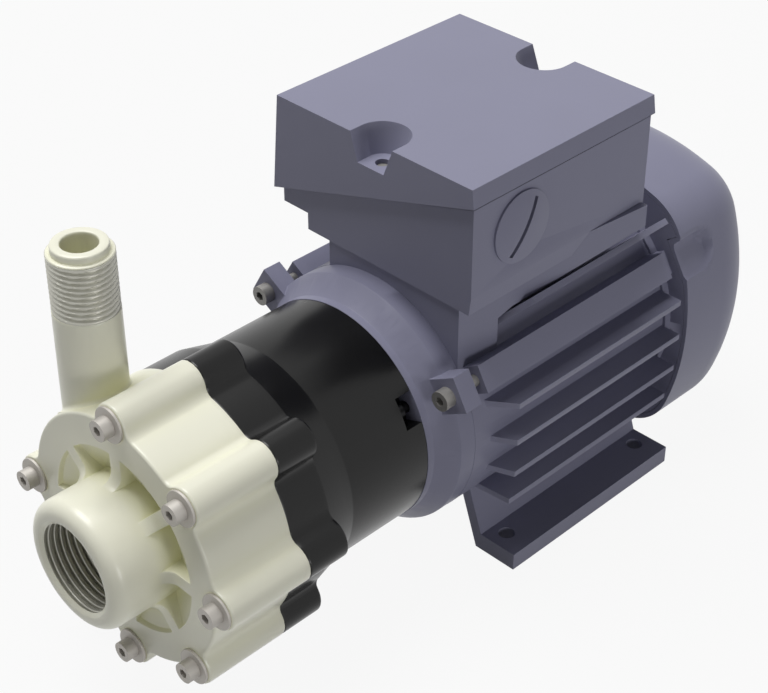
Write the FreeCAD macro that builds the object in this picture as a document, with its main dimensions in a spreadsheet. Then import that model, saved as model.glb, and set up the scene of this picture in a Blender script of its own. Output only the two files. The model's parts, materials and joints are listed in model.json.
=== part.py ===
"""Close-coupled magnetic-drive centrifugal pump on a foot-mounted motor.

X runs along the shaft, with the suction nose towards -X and the fan cowl
towards +X. Y is across the feet, with the discharge pipe on the +Y side, and
Z is up. The origin is the middle of the four foot holes, on the base plane.
Pieces are built about the shaft axis and lifted by the shaft height.
"""
import FreeCAD, Part
import math
import os

import Sketcher

SIZES = {
    # Motor feet and shaft height
    "shaft_height": 56.0,
    "foot_length": 85.0,
    "foot_width": 109.2,
    "foot_thick": 6.7,
    "foot_inside": 37.0,
    "foot_web": 4.3,
    "web_lean": 19.0,
    "hole_span_x": 71.0,
    "hole_span_y": 90.0,
    "foot_hole_r": 2.9,
    # Motor housing
    "barrel_front": -55.0,
    "barrel_rear": 44.0,
    "barrel_r": 46.2,
    "bore_r": 42.0,
    "fin_rear": 43.5,
    "fin_tip_1": -42.0,
    "fin_tip_2": -43.3,
    "fin_tip_3": -42.8,
    "fin_tip_4": -41.8,
    "fin_sweep_1": 7.7,
    "fin_sweep_2": 5.1,
    "fin_sweep_3": 4.2,
    "fin_sweep_4": 1.4,
    "fin_reach": 54.2,
    "fin_bow": 110.0,
    "fin_pitch": 14.0,
    "fin_thick": 2.2,
    "top_fin_r": 62.0,
    "top_fin_front": -26.0,
    "rib_front": -52.5,
    "rib_r": 53.3,
    "rib_width": 9.8,
    "lug_angle": 30.0,
    "lug_ring": 49.3,
    "m4_r": 2.0,
    "m4_tap_r": 2.05,
    "m4_hole_r": 2.25,
    "m4_head_r": 3.5,
    "m4_head": 4.0,
    "m4_socket_r": 1.7,
    "m4_socket": 2.2,
    "neck_near_front": 37.2,
    "neck_near_rear": 45.75,
    "neck_far": 22.0,
    "neck_front": 55.0,
    "neck_step": 38.0,
    "neck_under": 46.0,
    "neck_chamfer": 6.0,
    "neck_inner": 30.4,
    "neck_rear": 28.4,
    "neck_foot": 20.0,
    "duct_r": 12.0,
    # Front end shield
    "shield_face": -71.5,
    "shield_band": 2.7,
    "shield_nose_r": 40.7,
    "shield_rim": -61.6,
    "shield_r": 46.1,
    "shield_wall": 6.5,
    "spigot_r": 25.0,
    "spigot": 2.5,
    "lug_front": -65.0,
    "lug_rear": -57.7,
    "lug_r": 55.1,
    "lug_width": 12.6,
    "seat_depth": 4.0,
    "hub_wall": 4.0,
    # Bearings, both of one size
    "bearing_bore_r": 6.0,
    "bearing_r": 16.0,
    "bearing_width": 10.0,
    "race": 2.6,
    "ball_r": 2.9,
    "ball_count": 7,
    "front_bearing": -66.0,
    "rear_bearing": 46.0,
    "seal_r": 11.0,
    "seal_width": 5.0,
    "seal_gap": 0.05,
    # Rear end shield
    "rear_rim_r": 47.3,
    "rear_plate": 3.0,
    "rear_web": 4.0,
    "rear_lug_out": 3.5,
    "rear_screw_edge": 2.6,
    "rear_tap_depth": 12.0,
    "cowl_fit": 0.15,
    "spring_thick": 0.8,
    # Shaft, rotor and stator
    "shaft_end_r": 4.5,
    "shaft_end": 20.0,
    "shaft_body_r": 7.5,
    "fan_seat_r": 5.0,
    "fan_seat": 20.0,
    "core_length": 44.0,
    "rotor_r": 24.7,
    "stator_bore_r": 25.0,
    "cage_end": 5.0,
    "cage_ring": 9.0,
    "winding_out": 12.0,
    "winding_low_r": 28.0,
    "winding_high_r": 39.0,
    "key_width": 3.0,
    "key_height": 3.0,
    "key_length": 12.0,
    # Fan and cowl
    "cowl_front": 47.0,
    "cowl_rear": 96.0,
    "cowl_reach": 54.6,
    "cowl_bow": 105.0,
    "cowl_corner": 22.0,
    "cowl_wall": 1.5,
    "cowl_dome": 27.0,
    "grille_low_r": 9.0,
    "grille_high_r": 25.0,
    "grille_slot": 2.4,
    "grille_count": 16,
    "dimple_r": 55.2,
    "dimple_width": 13.6,
    "dimple_end": 62.5,
    "fan_disc_r": 40.0,
    "fan_blade_r": 45.0,
    "fan_blade": 13.0,
    "fan_blades": 7,
    "fan_hub_r": 9.5,
    "fan_disc": 2.2,
    # Terminal box
    "box_front": -56.0,
    "box_rear": 29.5,
    "box_near": 43.0,
    "box_far": 42.8,
    "box_floor": 57.4,
    "plinth": 6.3,
    "plinth_far": 31.2,
    "box_wall": 3.0,
    "part_near": 90.6,
    "part_far": 63.6,
    "gasket": 1.0,
    "lid_top": 97.6,
    "lid_lip_near": 1.4,
    "lid_lip_far": 2.1,
    "lid_lip_front": 2.6,
    "lid_lip_rear": 1.3,
    "lid_draft_near": 0.9,
    "lid_draft_far": 1.8,
    "lid_draft_front": 1.2,
    "lid_draft_rear": 1.2,
    "lid_wall": 3.0,
    "notch_y": -0.4,
    "notch_r": 9.5,
    "notch_floor": 87.8,
    "notch_floor_r": 5.8,
    "well_front": 3.8,
    "well_rear": 5.2,
    "lid_screw_r": 2.3,
    "lid_shank_r": 1.6,
    "lid_boss_r": 4.2,
    "plug_x": -33.8,
    "plug_z": 75.0,
    "plug_r": 12.6,
    "plug_head": 1.9,
    "plug_thread_r": 9.9,
    "plug_slot": 1.6,
    "plug_slot_turn": 58.0,
    "plug_ring": 1.0,
    "plug_ring_width": 1.6,
    "board_y": 14.0,
    "board_length": 44.0,
    "board_width": 34.0,
    "board_thick": 5.0,
    "board_lift": 5.0,
    "stud_pitch_x": 16.0,
    "stud_pitch_y": 14.0,
    "stud_r": 2.0,
    "stud_stand": 11.0,
    "nut_r": 4.0,
    "nut_thick": 3.2,
    "link_thick": 1.0,
    # Pump casing
    "face": -165.0,
    "split": -133.8,
    "casing_r": 43.5,
    "boss_ring": 44.8,
    "boss_r": 6.8,
    "boss_blend": 4.0,
    "nose_front": -184.6,
    "nose_r": 22.2,
    "nose_round": 4.5,
    "thread_r": 15.15,
    "thread_depth": 19.0,
    "mouth_chamfer": 1.2,
    "eye_r": 13.5,
    "dish_r": 32.5,
    "dish_depth": 5.5,
    "rib_thick": 5.1,
    "chamber_front": -157.5,
    "chamber_r": 29.0,
    "spiral_step": 2.2,
    "pipe_x": -152.0,
    "pipe_y": 24.8,
    "pipe_r": 10.48,
    "pipe_bore_r": 5.75,
    "pipe_thread": 20.0,
    "pipe_low_r": 10.55,
    "pipe_foot_r": 10.85,
    "pipe_foot": 20.0,
    "pipe_collar": 88.6,
    "pipe_top": 91.2,
    "pipe_tip_r": 8.9,
    "spider_hub_r": 8.0,
    "spider_arm": 3.0,
    "spider_front": -164.0,
    "washer_r": 6.1,
    "washer": 1.0,
    "casing_screw": 44.0,
    # Bracket between pump and motor
    "flange_rear": -117.7,
    "bracket_front_r": 43.4,
    "bracket_r": 40.4,
    "bracket_cone": -105.3,
    "bracket_bore_r": 35.5,
    "bracket_wall": 5.0,
    "notch_front": -78.2,
    "notch_width": 11.0,
    "bracket_screw_ring": 34.5,
    "bracket_seat": 3.0,
    "insert_r": 3.2,
    "insert": 9.0,
    # Containment shell, spindle and rotor magnets
    "can_flange": 5.2,
    "can_flange_r": 38.4,
    "can_r": 26.0,
    "can_wall": 2.0,
    "can_end": -98.5,
    "spindle_r": 5.0,
    "spindle_seat": 7.0,
    "ring_low_r": 33.4,
    "ring_high_r": 36.4,
    "groove": 1.9,
    "cup_r": 34.0,
    "cup_wall": 3.5,
    "cup_front": -131.5,
    "cup_rear": -92.5,
    "cup_end": 4.0,
    "cup_hub_r": 11.0,
    "cup_hub_rear": -77.5,
    "magnet": 3.5,
    "magnet_length": 24.0,
    "magnet_gap": 3.0,
    "grub_r": 2.0,
    # Impeller
    "bush_r": 8.0,
    "run_gap": 0.04,
    "thrust": 1.5,
    "thrust_r": 9.0,
    "shroud_thick": 2.0,
    "vane_width": 5.0,
    "vane_thick": 2.0,
    "vane_count": 6,
    "vane_inner_r": 14.5,
    "impeller_r": 27.5,
    "shroud_front": -153.0,
    "skirt_r": 15.6,
    "skirt": 3.6,
    "capsule_r": 23.0,
    "capsule_rear": -110.0,
    "capsule_skin": 1.6,
    "inner_magnet": 5.0,
    "yoke": 4.0,
    "end_gap": 0.4,
}

doc = FreeCAD.newDocument("pump")
sheet = doc.addObject("Spreadsheet::Sheet", "Sizes")
for row, (alias, amount) in enumerate(SIZES.items(), start=1):
    sheet.set(f"A{row}", alias)
    sheet.set(f"B{row}", str(amount))
    sheet.setAlias(f"B{row}", alias)
doc.recompute()

AXIS_X = FreeCAD.Vector(1, 0, 0)
AXIS_Y = FreeCAD.Vector(0, 1, 0)
nodes = []


class Size:
    """A length or an angle: its value, and the cell text that yields it."""

    def __init__(self, value, text):
        self.value = value
        self.text = text

    def __add__(self, other):
        other = as_size(other)
        return Size(self.value + other.value, f"({self.text} + {other.text})")

    def __sub__(self, other):
        other = as_size(other)
        return Size(self.value - other.value, f"({self.text} - {other.text})")

    def __mul__(self, other):
        other = as_size(other)
        return Size(self.value * other.value, f"({self.text} * {other.text})")

    def __truediv__(self, other):
        other = as_size(other)
        return Size(self.value / other.value, f"({self.text} / {other.text})")

    def __neg__(self):
        return Size(-self.value, f"(0 - {self.text})")

    def __radd__(self, other):
        return as_size(other) + self

    def __rsub__(self, other):
        return as_size(other) - self

    def __rmul__(self, other):
        return as_size(other) * self


def as_size(amount):
    """A plain number as a Size."""
    if isinstance(amount, Size):
        return amount
    return Size(float(amount), f"({amount:.6f})")


def root(amount):
    """The square root of a Size."""
    return Size(math.sqrt(amount.value), f"sqrt({amount.text})")


def cosine(angle):
    angle = as_size(angle)
    return Size(math.cos(math.radians(angle.value)), f"cos({angle.text})")


def sine(angle):
    angle = as_size(angle)
    return Size(math.sin(math.radians(angle.value)), f"sin({angle.text})")


class Sheet:
    """Each driving dimension by its name."""

    def __getattr__(self, alias):
        return Size(SIZES[alias], f"Sizes.{alias}")


s = Sheet()
ZERO = as_size(0)


def bind(thing, prop, amount):
    """Ties one property to the sheet."""
    thing.setExpression(prop, as_size(amount).text)


def place(thing, x, y, z):
    for letter, amount in zip("xyz", (x, y, z)):
        bind(thing, f"Placement.Base.{letter}", amount)


def rod(name, x, length, radius, ring=0, angle=0):
    """A cylinder along X, from x, on the axis or on a ring about it."""
    thing = doc.addObject("Part::Cylinder", name)
    bind(thing, "Radius", radius)
    bind(thing, "Height", length)
    thing.Placement.Rotation = FreeCAD.Rotation(AXIS_Y, 90)
    place(thing, x, ring * cosine(angle), ring * sine(angle))
    return thing


def post(name, x, y, z, height, radius):
    """An upright cylinder."""
    thing = doc.addObject("Part::Cylinder", name)
    bind(thing, "Radius", radius)
    bind(thing, "Height", height)
    place(thing, x, y, z)
    return thing


def cross_pin(name, x, y, z, length, radius):
    """A cylinder along +Y."""
    thing = doc.addObject("Part::Cylinder", name)
    bind(thing, "Radius", radius)
    bind(thing, "Height", length)
    thing.Placement.Rotation = FreeCAD.Rotation(AXIS_X, -90)
    place(thing, x, y, z)
    return thing


def block(name, x, y, z, length, width, height):
    thing = doc.addObject("Part::Box", name)
    bind(thing, "Length", length)
    bind(thing, "Width", width)
    bind(thing, "Height", height)
    place(thing, x, y, z)
    return thing


def spoke(name, x, length, low, high, width, angle, shift=0):
    """A bar that stands out from the axis at an angle from +Y towards +Z."""
    thing = doc.addObject("Part::Box", name)
    bind(thing, "Length", length)
    bind(thing, "Width", width)
    bind(thing, "Height", as_size(high) - low)
    turn = as_size(angle)
    thing.Placement.Rotation = FreeCAD.Rotation(AXIS_X, turn.value - 90)
    side = as_size(shift) - as_size(width) / 2
    place(thing, x, side * sine(turn) + low * cosine(turn), low * sine(turn) - side * cosine(turn))
    return thing


def outline_body(name, role, corners):
    """A body with one closed sketch of straight sides, each corner tied to the sheet."""
    body = doc.addObject("PartDesign::Body", name)
    sketch = body.newObject("Sketcher::SketchObject", name + "_outline")
    plane = [item for item in body.Origin.OriginFeatures if item.Role == role][0]
    sketch.AttachmentSupport = (plane, [""])
    sketch.MapMode = "FlatFace"
    corners = [(as_size(across), as_size(up)) for across, up in corners]
    points = [FreeCAD.Vector(across.value, up.value, 0) for across, up in corners]
    count = len(points)
    for index in range(count):
        sketch.addGeometry(Part.LineSegment(points[index], points[(index + 1) % count]), False)
    for index in range(count):
        sketch.addConstraint(Sketcher.Constraint("Coincident", index, 2, (index + 1) % count, 1))
    for index, (across, up) in enumerate(corners):
        tie(sketch, "DistanceX", index, across, -2)
        tie(sketch, "DistanceY", index, up, -1)
    return body, sketch


def tie(sketch, kind, index, amount, axis):
    """Holds the first point of a line at its distance from an axis of the sketch."""
    if abs(amount.value) < 1e-9:
        sketch.addConstraint(Sketcher.Constraint("PointOnObject", index, 1, axis))
        return
    number = sketch.addConstraint(Sketcher.Constraint(kind, -1, 1, index, 1, amount.value))
    sketch.setExpression(f"Constraints[{number}]", amount.text)


def turned(name, corners):
    """A piece turned about the shaft axis from (x, radius) corners."""
    body, sketch = outline_body(name, "XZ_Plane", corners)
    turn = body.newObject("PartDesign::Revolution", name + "_turn")
    turn.Profile = sketch
    turn.ReferenceAxis = (sketch, ["H_Axis"])
    turn.Angle = 360
    body.Tip = turn
    return body


def collar(name, x, length, outer, inner):
    """A plain ring along X."""
    x = as_size(x)
    return turned(name, [(x, inner), (x + length, inner), (x + length, outer), (x, outer)])


def extruded(name, role, corners, start, length):
    """A prism from corners on one origin plane, from start along the plane's normal."""
    body, sketch = outline_body(name, role, corners)
    bind(sketch, "AttachmentOffset.Base.z", start)
    pad = body.newObject("PartDesign::Pad", name + "_pad")
    pad.Profile = sketch
    bind(pad, "Length", length)
    body.Tip = pad
    return body


def across_x(name, corners, start, length):
    """A prism along +X from (y, z) corners."""
    return extruded(name, "YZ_Plane", corners, start, length)


def upright(name, corners, start, length):
    """A prism along +Z from (x, y) corners."""
    return extruded(name, "XY_Plane", corners, start, length)


def along_y(name, corners, half):
    """A prism across the feet from (x, z) corners, half to each side of the shaft."""
    return extruded(name, "XZ_Plane", corners, -as_size(half), 2 * as_size(half))


def fused(name, *pieces):
    thing = doc.addObject("Part::MultiFuse", name)
    thing.Shapes = list(pieces)
    thing.Refine = True
    return thing


def shared(name, *pieces):
    thing = doc.addObject("Part::MultiCommon", name)
    thing.Shapes = list(pieces)
    return thing


def cut(name, base, *tools):
    tool = tools[0] if len(tools) == 1 else fused(name + "_tools", *tools)
    thing = doc.addObject("Part::Cut", name)
    thing.Base = base
    thing.Tool = tool
    return thing


def together(name, pieces):
    """Like pieces in one node, each a solid of its own."""
    thing = doc.addObject("Part::Compound", name)
    thing.Links = list(pieces)
    return thing


def formed(name, shape):
    """A form that no primitive or straight outline gives, from Part's own functions."""
    thing = doc.addObject("Part::Feature", name)
    thing.Shape = shape
    return thing


def rounded(name, base, radius, chosen):
    """Rounds the edges of base that chosen picks."""
    doc.recompute()
    edges = [number for number, edge in enumerate(base.Shape.Edges, start=1) if chosen(edge)]
    thing = doc.addObject("Part::Fillet", name)
    thing.Base = base
    thing.Edges = [(number, radius, radius) for number in edges]
    return thing


def keep(thing, label):
    """Names a finished piece and lifts it from the shaft axis to its height."""
    thing.Label = label
    bind(thing, "Placement.Base.z", s.shaft_height)
    nodes.append(thing)
    return thing


def arc(first, middle, last):
    return Part.Arc(first, middle, last).toShape()


def spot(radius, angle, x=0.0, centre=(0.0, 0.0)):
    """The point at a radius and angle about a centre in the plane across the shaft."""
    turn = math.radians(angle)
    return FreeCAD.Vector(x, centre[0] + radius * math.cos(turn), centre[1] + radius * math.sin(turn))


FIN_FRONTS = (
    (s.fin_tip_1, s.fin_sweep_1),
    (s.fin_tip_2, s.fin_sweep_2),
    (s.fin_tip_3, s.fin_sweep_3),
    (s.fin_tip_4, s.fin_sweep_4),
)
COWL_STEPS = 5
BOSS_ANGLES = (90, 135, 180, 225, 270, 315, 0)


def lug_angles():
    """The three end-shield screws: two above the shaft and one straight below it."""
    return (s.lug_angle, 180 - s.lug_angle, as_size(270))


def lobed_plate(x, length, ring_r):
    """A round plate with a blended boss for each casing screw."""
    ring = s.boss_ring.value
    boss = s.boss_r.value
    blend = s.boss_blend.value
    reach = ring_r + blend
    swing = math.degrees(math.acos((ring**2 + reach**2 - (boss + blend) ** 2) / (2 * ring * reach)))
    edges = []
    angles = sorted(BOSS_ANGLES)
    for index, angle in enumerate(angles):
        centre_point = spot(ring, angle, x)
        centre = (centre_point.y, centre_point.z)
        sides = []
        for side in (-1, 1):
            hollow = spot(reach, angle + side * swing, x)
            foot = spot(ring_r, angle + side * swing, x)
            towards = (hollow - centre_point).normalize()
            shoulder = centre_point + towards * boss
            middle = hollow + ((foot - hollow).normalize() + (shoulder - hollow).normalize()).normalize() * blend
            sides.append((foot, middle, shoulder))
        edges.append(arc(*sides[0]))
        edges.append(arc(sides[0][2], spot(boss, angle, x, centre), sides[1][2]))
        edges.append(arc(sides[1][2], sides[1][1], sides[1][0]))
        following = angles[(index + 1) % len(angles)] + (360 if index + 1 == len(angles) else 0)
        halfway = (angle + following) / 2
        edges.append(arc(sides[1][0], spot(ring_r, halfway, x), spot(ring_r, following - swing, x)))
    return Part.Face(Part.Wire(edges)).extrude(FreeCAD.Vector(length, 0, 0))


def cushion(x, reach, bow, corner):
    """An outline across the shaft whose four sides bow out, with rounded corners between them."""
    shift = reach - bow
    half = (2 * shift + math.sqrt(4 * shift**2 - 8 * (shift**2 - (bow - corner) ** 2))) / 4
    lean = math.degrees(math.atan2(half, half - shift))
    edges = []
    for quarter in range(4):
        turn = 90 * quarter
        side_centre = spot(shift, turn, x)
        corner_centre = spot(half * math.sqrt(2), turn + 45, x)
        side = (side_centre.y, side_centre.z)
        round_centre = (corner_centre.y, corner_centre.z)
        first = spot(bow, turn - lean, x, side)
        last = spot(bow, turn + lean, x, side)
        edges.append(arc(first, spot(bow, turn, x, side), last))
        edges.append(arc(last, spot(corner, turn + 45, x, round_centre), spot(corner, turn + 90 - lean, x, round_centre)))
    return Part.Wire(edges)


def cowl_form(front, rear, inset):
    """The cowl's straight skirt and its rounded back, drawn in by inset all over."""
    reach = s.cowl_reach.value
    radius = s.cowl_dome.value
    wires = []
    for step in range(COWL_STEPS + 1):
        turn = math.radians(90.0 * step / COWL_STEPS)
        drawn = (radius - inset) * (1 - math.cos(turn)) + inset
        scale = (reach - drawn) / reach
        x = rear - inset - (radius - inset) * (1 - math.sin(turn))
        wires.append(cushion(x, reach * scale, s.cowl_bow.value * scale, s.cowl_corner.value * scale))
    back = Part.makeLoft(wires, True, False)
    first = Part.Face(wires[0])
    skirt = first.extrude(FreeCAD.Vector(front - first.BoundBox.XMin, 0, 0))
    return skirt.fuse(back)


def spiral_chamber(x, length, start_r, step):
    """The volute: four quarter turns, each with a larger radius than the last."""
    centre = [-step / 2, -step / 2]
    shifts = ((step, 0), (0, step), (-step, 0))
    edges = []
    for quarter in range(4):
        radius = start_r + step * (quarter + 0.5)
        turn = 90 + 90 * quarter
        ends = [spot(radius, turn + swing, x, centre) for swing in (0, 45, 90)]
        edges.append(arc(*ends))
        if quarter == 0:
            first = ends[0]
        if quarter < 3:
            centre = [centre[0] + shifts[quarter][0], centre[1] + shifts[quarter][1]]
    edges.append(Part.LineSegment(ends[2], first).toShape())
    return Part.Face(Part.Wire(edges)).extrude(FreeCAD.Vector(length, 0, 0))


def socket_screw(name, seat, length, ring, angle, head_r, head, shank_r):
    """A socket cap screw along +X, whose head bears on seat, with its hexagon socket open."""
    crown = rod(name + "_head", seat - head, head, head_r, ring, angle)
    shank = rod(name + "_shank", seat - 1, as_size(length) + 1, shank_r, ring, angle)
    whole = fused(name + "_whole", crown, shank)
    socket = doc.addObject("Part::Prism", name + "_socket")
    socket.Polygon = 6
    bind(socket, "Circumradius", s.m4_socket_r)
    bind(socket, "Height", s.m4_socket)
    socket.Placement.Rotation = FreeCAD.Rotation(AXIS_Y, 90)
    place(socket, seat - head, as_size(ring) * cosine(angle), as_size(ring) * sine(angle))
    return cut(name, whole, socket)


def pump_casing():
    """The moulded front casing with its suction nose, volute and discharge pipe."""
    x = s.face.value
    depth = s.split.value - x
    plate = formed("casing_plate", lobed_plate(x, depth, s.casing_r.value))
    dish = turned("casing_dish", [
        (s.face - 1, s.nose_r - 4),
        (s.face + s.dish_depth, s.nose_r - 4),
        (s.face + s.dish_depth, s.nose_r),
        (s.face, s.dish_r),
        (s.face - 1, s.dish_r),
    ])
    dished = cut("casing_dished", plate, dish)
    ribs = []
    for index in range(8):
        rib = spoke(f"casing_rib_{index}", s.face, s.dish_depth + 1, s.nose_r - 3, s.dish_r + 1, s.rib_thick, 45 * index)
        ribs.append(rib)
    nose = rounded(
        "nose_rounded",
        rod("nose", s.nose_front, s.face - s.nose_front + s.dish_depth + 1, s.nose_r),
        s.nose_round.value,
        lambda edge: edge.Curve.TypeId == "Part::GeomCircle" and abs(edge.BoundBox.XMax - s.nose_front.value) < 0.01,
    )
    pipe = post("pipe", s.pipe_x, s.pipe_y, s.pipe_collar - s.pipe_thread, s.pipe_thread, s.pipe_r)
    tip = post("pipe_tip", s.pipe_x, s.pipe_y, s.pipe_foot, s.pipe_top - s.pipe_foot, s.pipe_tip_r)
    stem = doc.addObject("Part::Cone", "pipe_stem")
    bind(stem, "Radius1", s.pipe_foot_r)
    bind(stem, "Radius2", s.pipe_low_r)
    bind(stem, "Height", s.pipe_collar - s.pipe_thread - s.pipe_foot)
    place(stem, s.pipe_x, s.pipe_y, s.pipe_foot)
    outside = fused("casing_outside", dished, nose, pipe, tip, stem, *ribs)
    volute = formed("volute", spiral_chamber(
        s.chamber_front.value,
        s.split.value - s.can_flange.value - s.chamber_front.value,
        s.chamber_r.value,
        s.spiral_step.value,
    ))
    recess = rod("can_recess", s.split - s.can_flange, s.can_flange + 1, s.can_flange_r + 0.1)
    bores = turned("suction_bore", [
        (s.nose_front - 1, 0),
        (s.nose_front - 1, s.thread_r + s.mouth_chamfer),
        (s.nose_front, s.thread_r + s.mouth_chamfer),
        (s.nose_front + s.mouth_chamfer, s.thread_r),
        (s.nose_front + s.thread_depth, s.thread_r),
        (s.nose_front + s.thread_depth, s.eye_r),
        (s.chamber_front + 1, s.eye_r),
        (s.chamber_front + 1, 0),
    ])
    outlet = post("outlet_bore", s.pipe_x, s.pipe_y, 12, s.pipe_top - 11, s.pipe_bore_r)
    holes = [
        rod(f"casing_hole_{angle}", s.face - 1, s.split - s.face + 2, s.m4_hole_r, s.boss_ring, angle)
        for angle in BOSS_ANGLES
    ]
    hollow = cut("casing_hollow", outside, volute, recess, bores, outlet, *holes)
    hub = rod("spider_hub", s.spider_front, s.chamber_front - s.spider_front, s.spider_hub_r)
    arms = [
        spoke(f"spider_arm_{index}", s.spider_front, s.chamber_front - s.spider_front,
              s.spindle_r + 1, s.eye_r + 1, s.spider_arm, 90 + 120 * index)
        for index in range(3)
    ]
    spindle_seat = rod("front_seat", s.spider_front + 2, 10, s.spindle_r)
    whole = cut("casing_whole", fused("casing_spider", hollow, hub, *arms), spindle_seat)
    keep(whole, "pump_casing")


def casing_fasteners():
    """Seven screws and washers round the casing, and the threaded inserts that they turn into."""
    screws = [
        socket_screw(f"casing_screw_{angle}", s.face - s.washer, s.casing_screw, s.boss_ring, angle,
                     s.m4_head_r, s.m4_head, s.m4_r)
        for angle in BOSS_ANGLES
    ]
    keep(together("casing_screw_set", screws), "casing_screws")
    washers = []
    inserts = []
    for angle in BOSS_ANGLES:
        disc = rod(f"washer_disc_{angle}", s.face - s.washer, s.washer, s.washer_r, s.boss_ring, angle)
        hole = rod(f"washer_hole_{angle}", s.face - s.washer - 1, s.washer + 2, s.m4_hole_r, s.boss_ring, angle)
        washers.append(cut(f"washer_{angle}", disc, hole))
        sleeve = rod(f"insert_sleeve_{angle}", s.split, s.insert, s.insert_r, s.boss_ring, angle)
        thread = rod(f"insert_thread_{angle}", s.split - 1, s.insert + 2, s.m4_tap_r, s.boss_ring, angle)
        inserts.append(cut(f"insert_{angle}", sleeve, thread))
    keep(together("washer_set", washers), "casing_washers")
    keep(together("insert_set", inserts), "bracket_inserts")


def containment_shell():
    """The can that seals the wet side, clamped by its flange between casing and bracket."""
    front = s.split - s.can_flange
    seat_end = s.can_end - s.can_wall - 1
    can = turned("can", [
        (front, s.can_r - s.can_wall),
        (front, s.ring_low_r),
        (front + s.groove, s.ring_low_r),
        (front + s.groove, s.ring_high_r),
        (front, s.ring_high_r),
        (front, s.can_flange_r),
        (s.split, s.can_flange_r),
        (s.split, s.can_r + 2.5),
        (s.split + 2.5, s.can_r),
        (s.can_end, s.can_r),
        (s.can_end, 0),
        (seat_end, 0),
        (seat_end, s.spindle_r),
        (seat_end - s.spindle_seat, s.spindle_r),
        (seat_end - s.spindle_seat, s.bush_r),
        (s.can_end - s.can_wall, s.bush_r),
        (s.can_end - s.can_wall, s.can_r - s.can_wall),
    ])
    keep(can, "containment_shell")
    keep(collar("o_ring", front, s.groove, s.ring_high_r, s.ring_low_r), "casing_seal")
    spindle = rod("spindle", s.spider_front + 2, seat_end - s.spider_front - 2, s.spindle_r)
    keep(spindle, "spindle")
    keep(collar("front_thrust", s.chamber_front, s.thrust, s.thrust_r, s.spindle_r), "thrust_ring")


def vane(index):
    """One backward-curved vane, as wide as the space between the shrouds."""
    x = s.shroud_front.value + s.shroud_thick.value
    half = s.vane_thick.value / 2
    inner = s.vane_inner_r.value
    outer = s.impeller_r.value
    start = 360.0 / SIZES["vane_count"] * index
    curves = []
    for side in (-half, half):
        first = spot(inner, start + math.degrees(side / inner), x)
        middle = spot((inner + outer) / 2, start - 32 + math.degrees(side / ((inner + outer) / 2)), x)
        last = spot(outer, start - 58 + math.degrees(side / outer), x)
        curves.append((first, middle, last))
    near, far = curves
    edges = [
        arc(*near),
        Part.LineSegment(near[2], far[2]).toShape(),
        arc(far[2], far[1], far[0]),
        Part.LineSegment(far[0], near[0]).toShape(),
    ]
    return Part.Face(Part.Wire(edges)).extrude(FreeCAD.Vector(s.vane_width.value, 0, 0))


def impeller():
    """The closed impeller and the plastic capsule behind it that holds the driven magnets."""
    back = s.shroud_front + s.shroud_thick + s.vane_width
    capsule_front = back + s.shroud_thick
    bush_front = s.chamber_front + s.thrust + s.end_gap
    pocket = capsule_front + s.capsule_skin
    pocket_low = s.capsule_r - s.capsule_skin - s.inner_magnet - s.yoke
    wheel = turned("wheel", [
        (bush_front, s.bush_r),
        (bush_front, s.bush_r + 2),
        (back - 1, s.bush_r + 4),
        (back, s.impeller_r),
        (capsule_front, s.impeller_r),
        (capsule_front, s.capsule_r),
        (s.capsule_rear, s.capsule_r),
        (s.capsule_rear, s.capsule_r - s.capsule_skin),
        (pocket, s.capsule_r - s.capsule_skin),
        (pocket, pocket_low),
        (s.capsule_rear, pocket_low),
        (s.capsule_rear, s.bush_r),
    ])
    vanes = [formed(f"vane_{index}", vane(index)) for index in range(SIZES["vane_count"])]
    keep(fused("impeller_wheel", wheel, *vanes), "impeller")
    shroud = turned("shroud", [
        (s.shroud_front - s.skirt, s.eye_r + 0.3),
        (s.shroud_front - s.skirt, s.skirt_r),
        (s.shroud_front, s.skirt_r),
        (s.shroud_front, s.impeller_r),
        (s.shroud_front + s.shroud_thick, s.impeller_r),
        (s.shroud_front + s.shroud_thick, s.eye_r + 0.3),
    ])
    keep(shroud, "impeller_shroud")
    bush = collar("bush", bush_front, s.capsule_rear - bush_front, s.bush_r, s.spindle_r + s.run_gap)
    keep(bush, "impeller_bush")
    cap = s.capsule_rear - s.capsule_skin
    keep(collar("capsule_cap", cap, s.capsule_skin, s.capsule_r - s.capsule_skin, pocket_low), "capsule_cap")
    yoke_r = pocket_low + s.yoke
    keep(collar("driven_yoke", pocket, cap - pocket, yoke_r, pocket_low), "driven_yoke")
    ring = collar("driven_ring", pocket, cap - pocket, s.capsule_r - s.capsule_skin, yoke_r)
    keep(segmented("driven_magnet_set", ring, pocket, cap - pocket), "driven_magnets")


def segmented(name, ring, x, length):
    """A magnet ring parted into eight poles."""
    slots = [
        spoke(f"{name}_slot_{index}", x - 1, length + 2, as_size(0) - 60, 60, s.magnet_gap, 22.5 + 45 * index)
        for index in range(4)
    ]
    return cut(name, ring, *slots)


def key_form(name):
    """The key with its two round ends, which also gives its bed in the shaft."""
    low = s.shaft_end_r - s.key_height / 2
    half = s.key_width / 2
    front = s.shield_face - 3 - s.key_length
    middle = block(name + "_bar", front + half, -half, low, s.key_length - s.key_width, s.key_width, s.key_height)
    ends = [post(f"{name}_end_{index}", x, 0, low, s.key_height, half)
            for index, x in enumerate((front + half, front + s.key_length - half))]
    return fused(name, middle, *ends)


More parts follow.
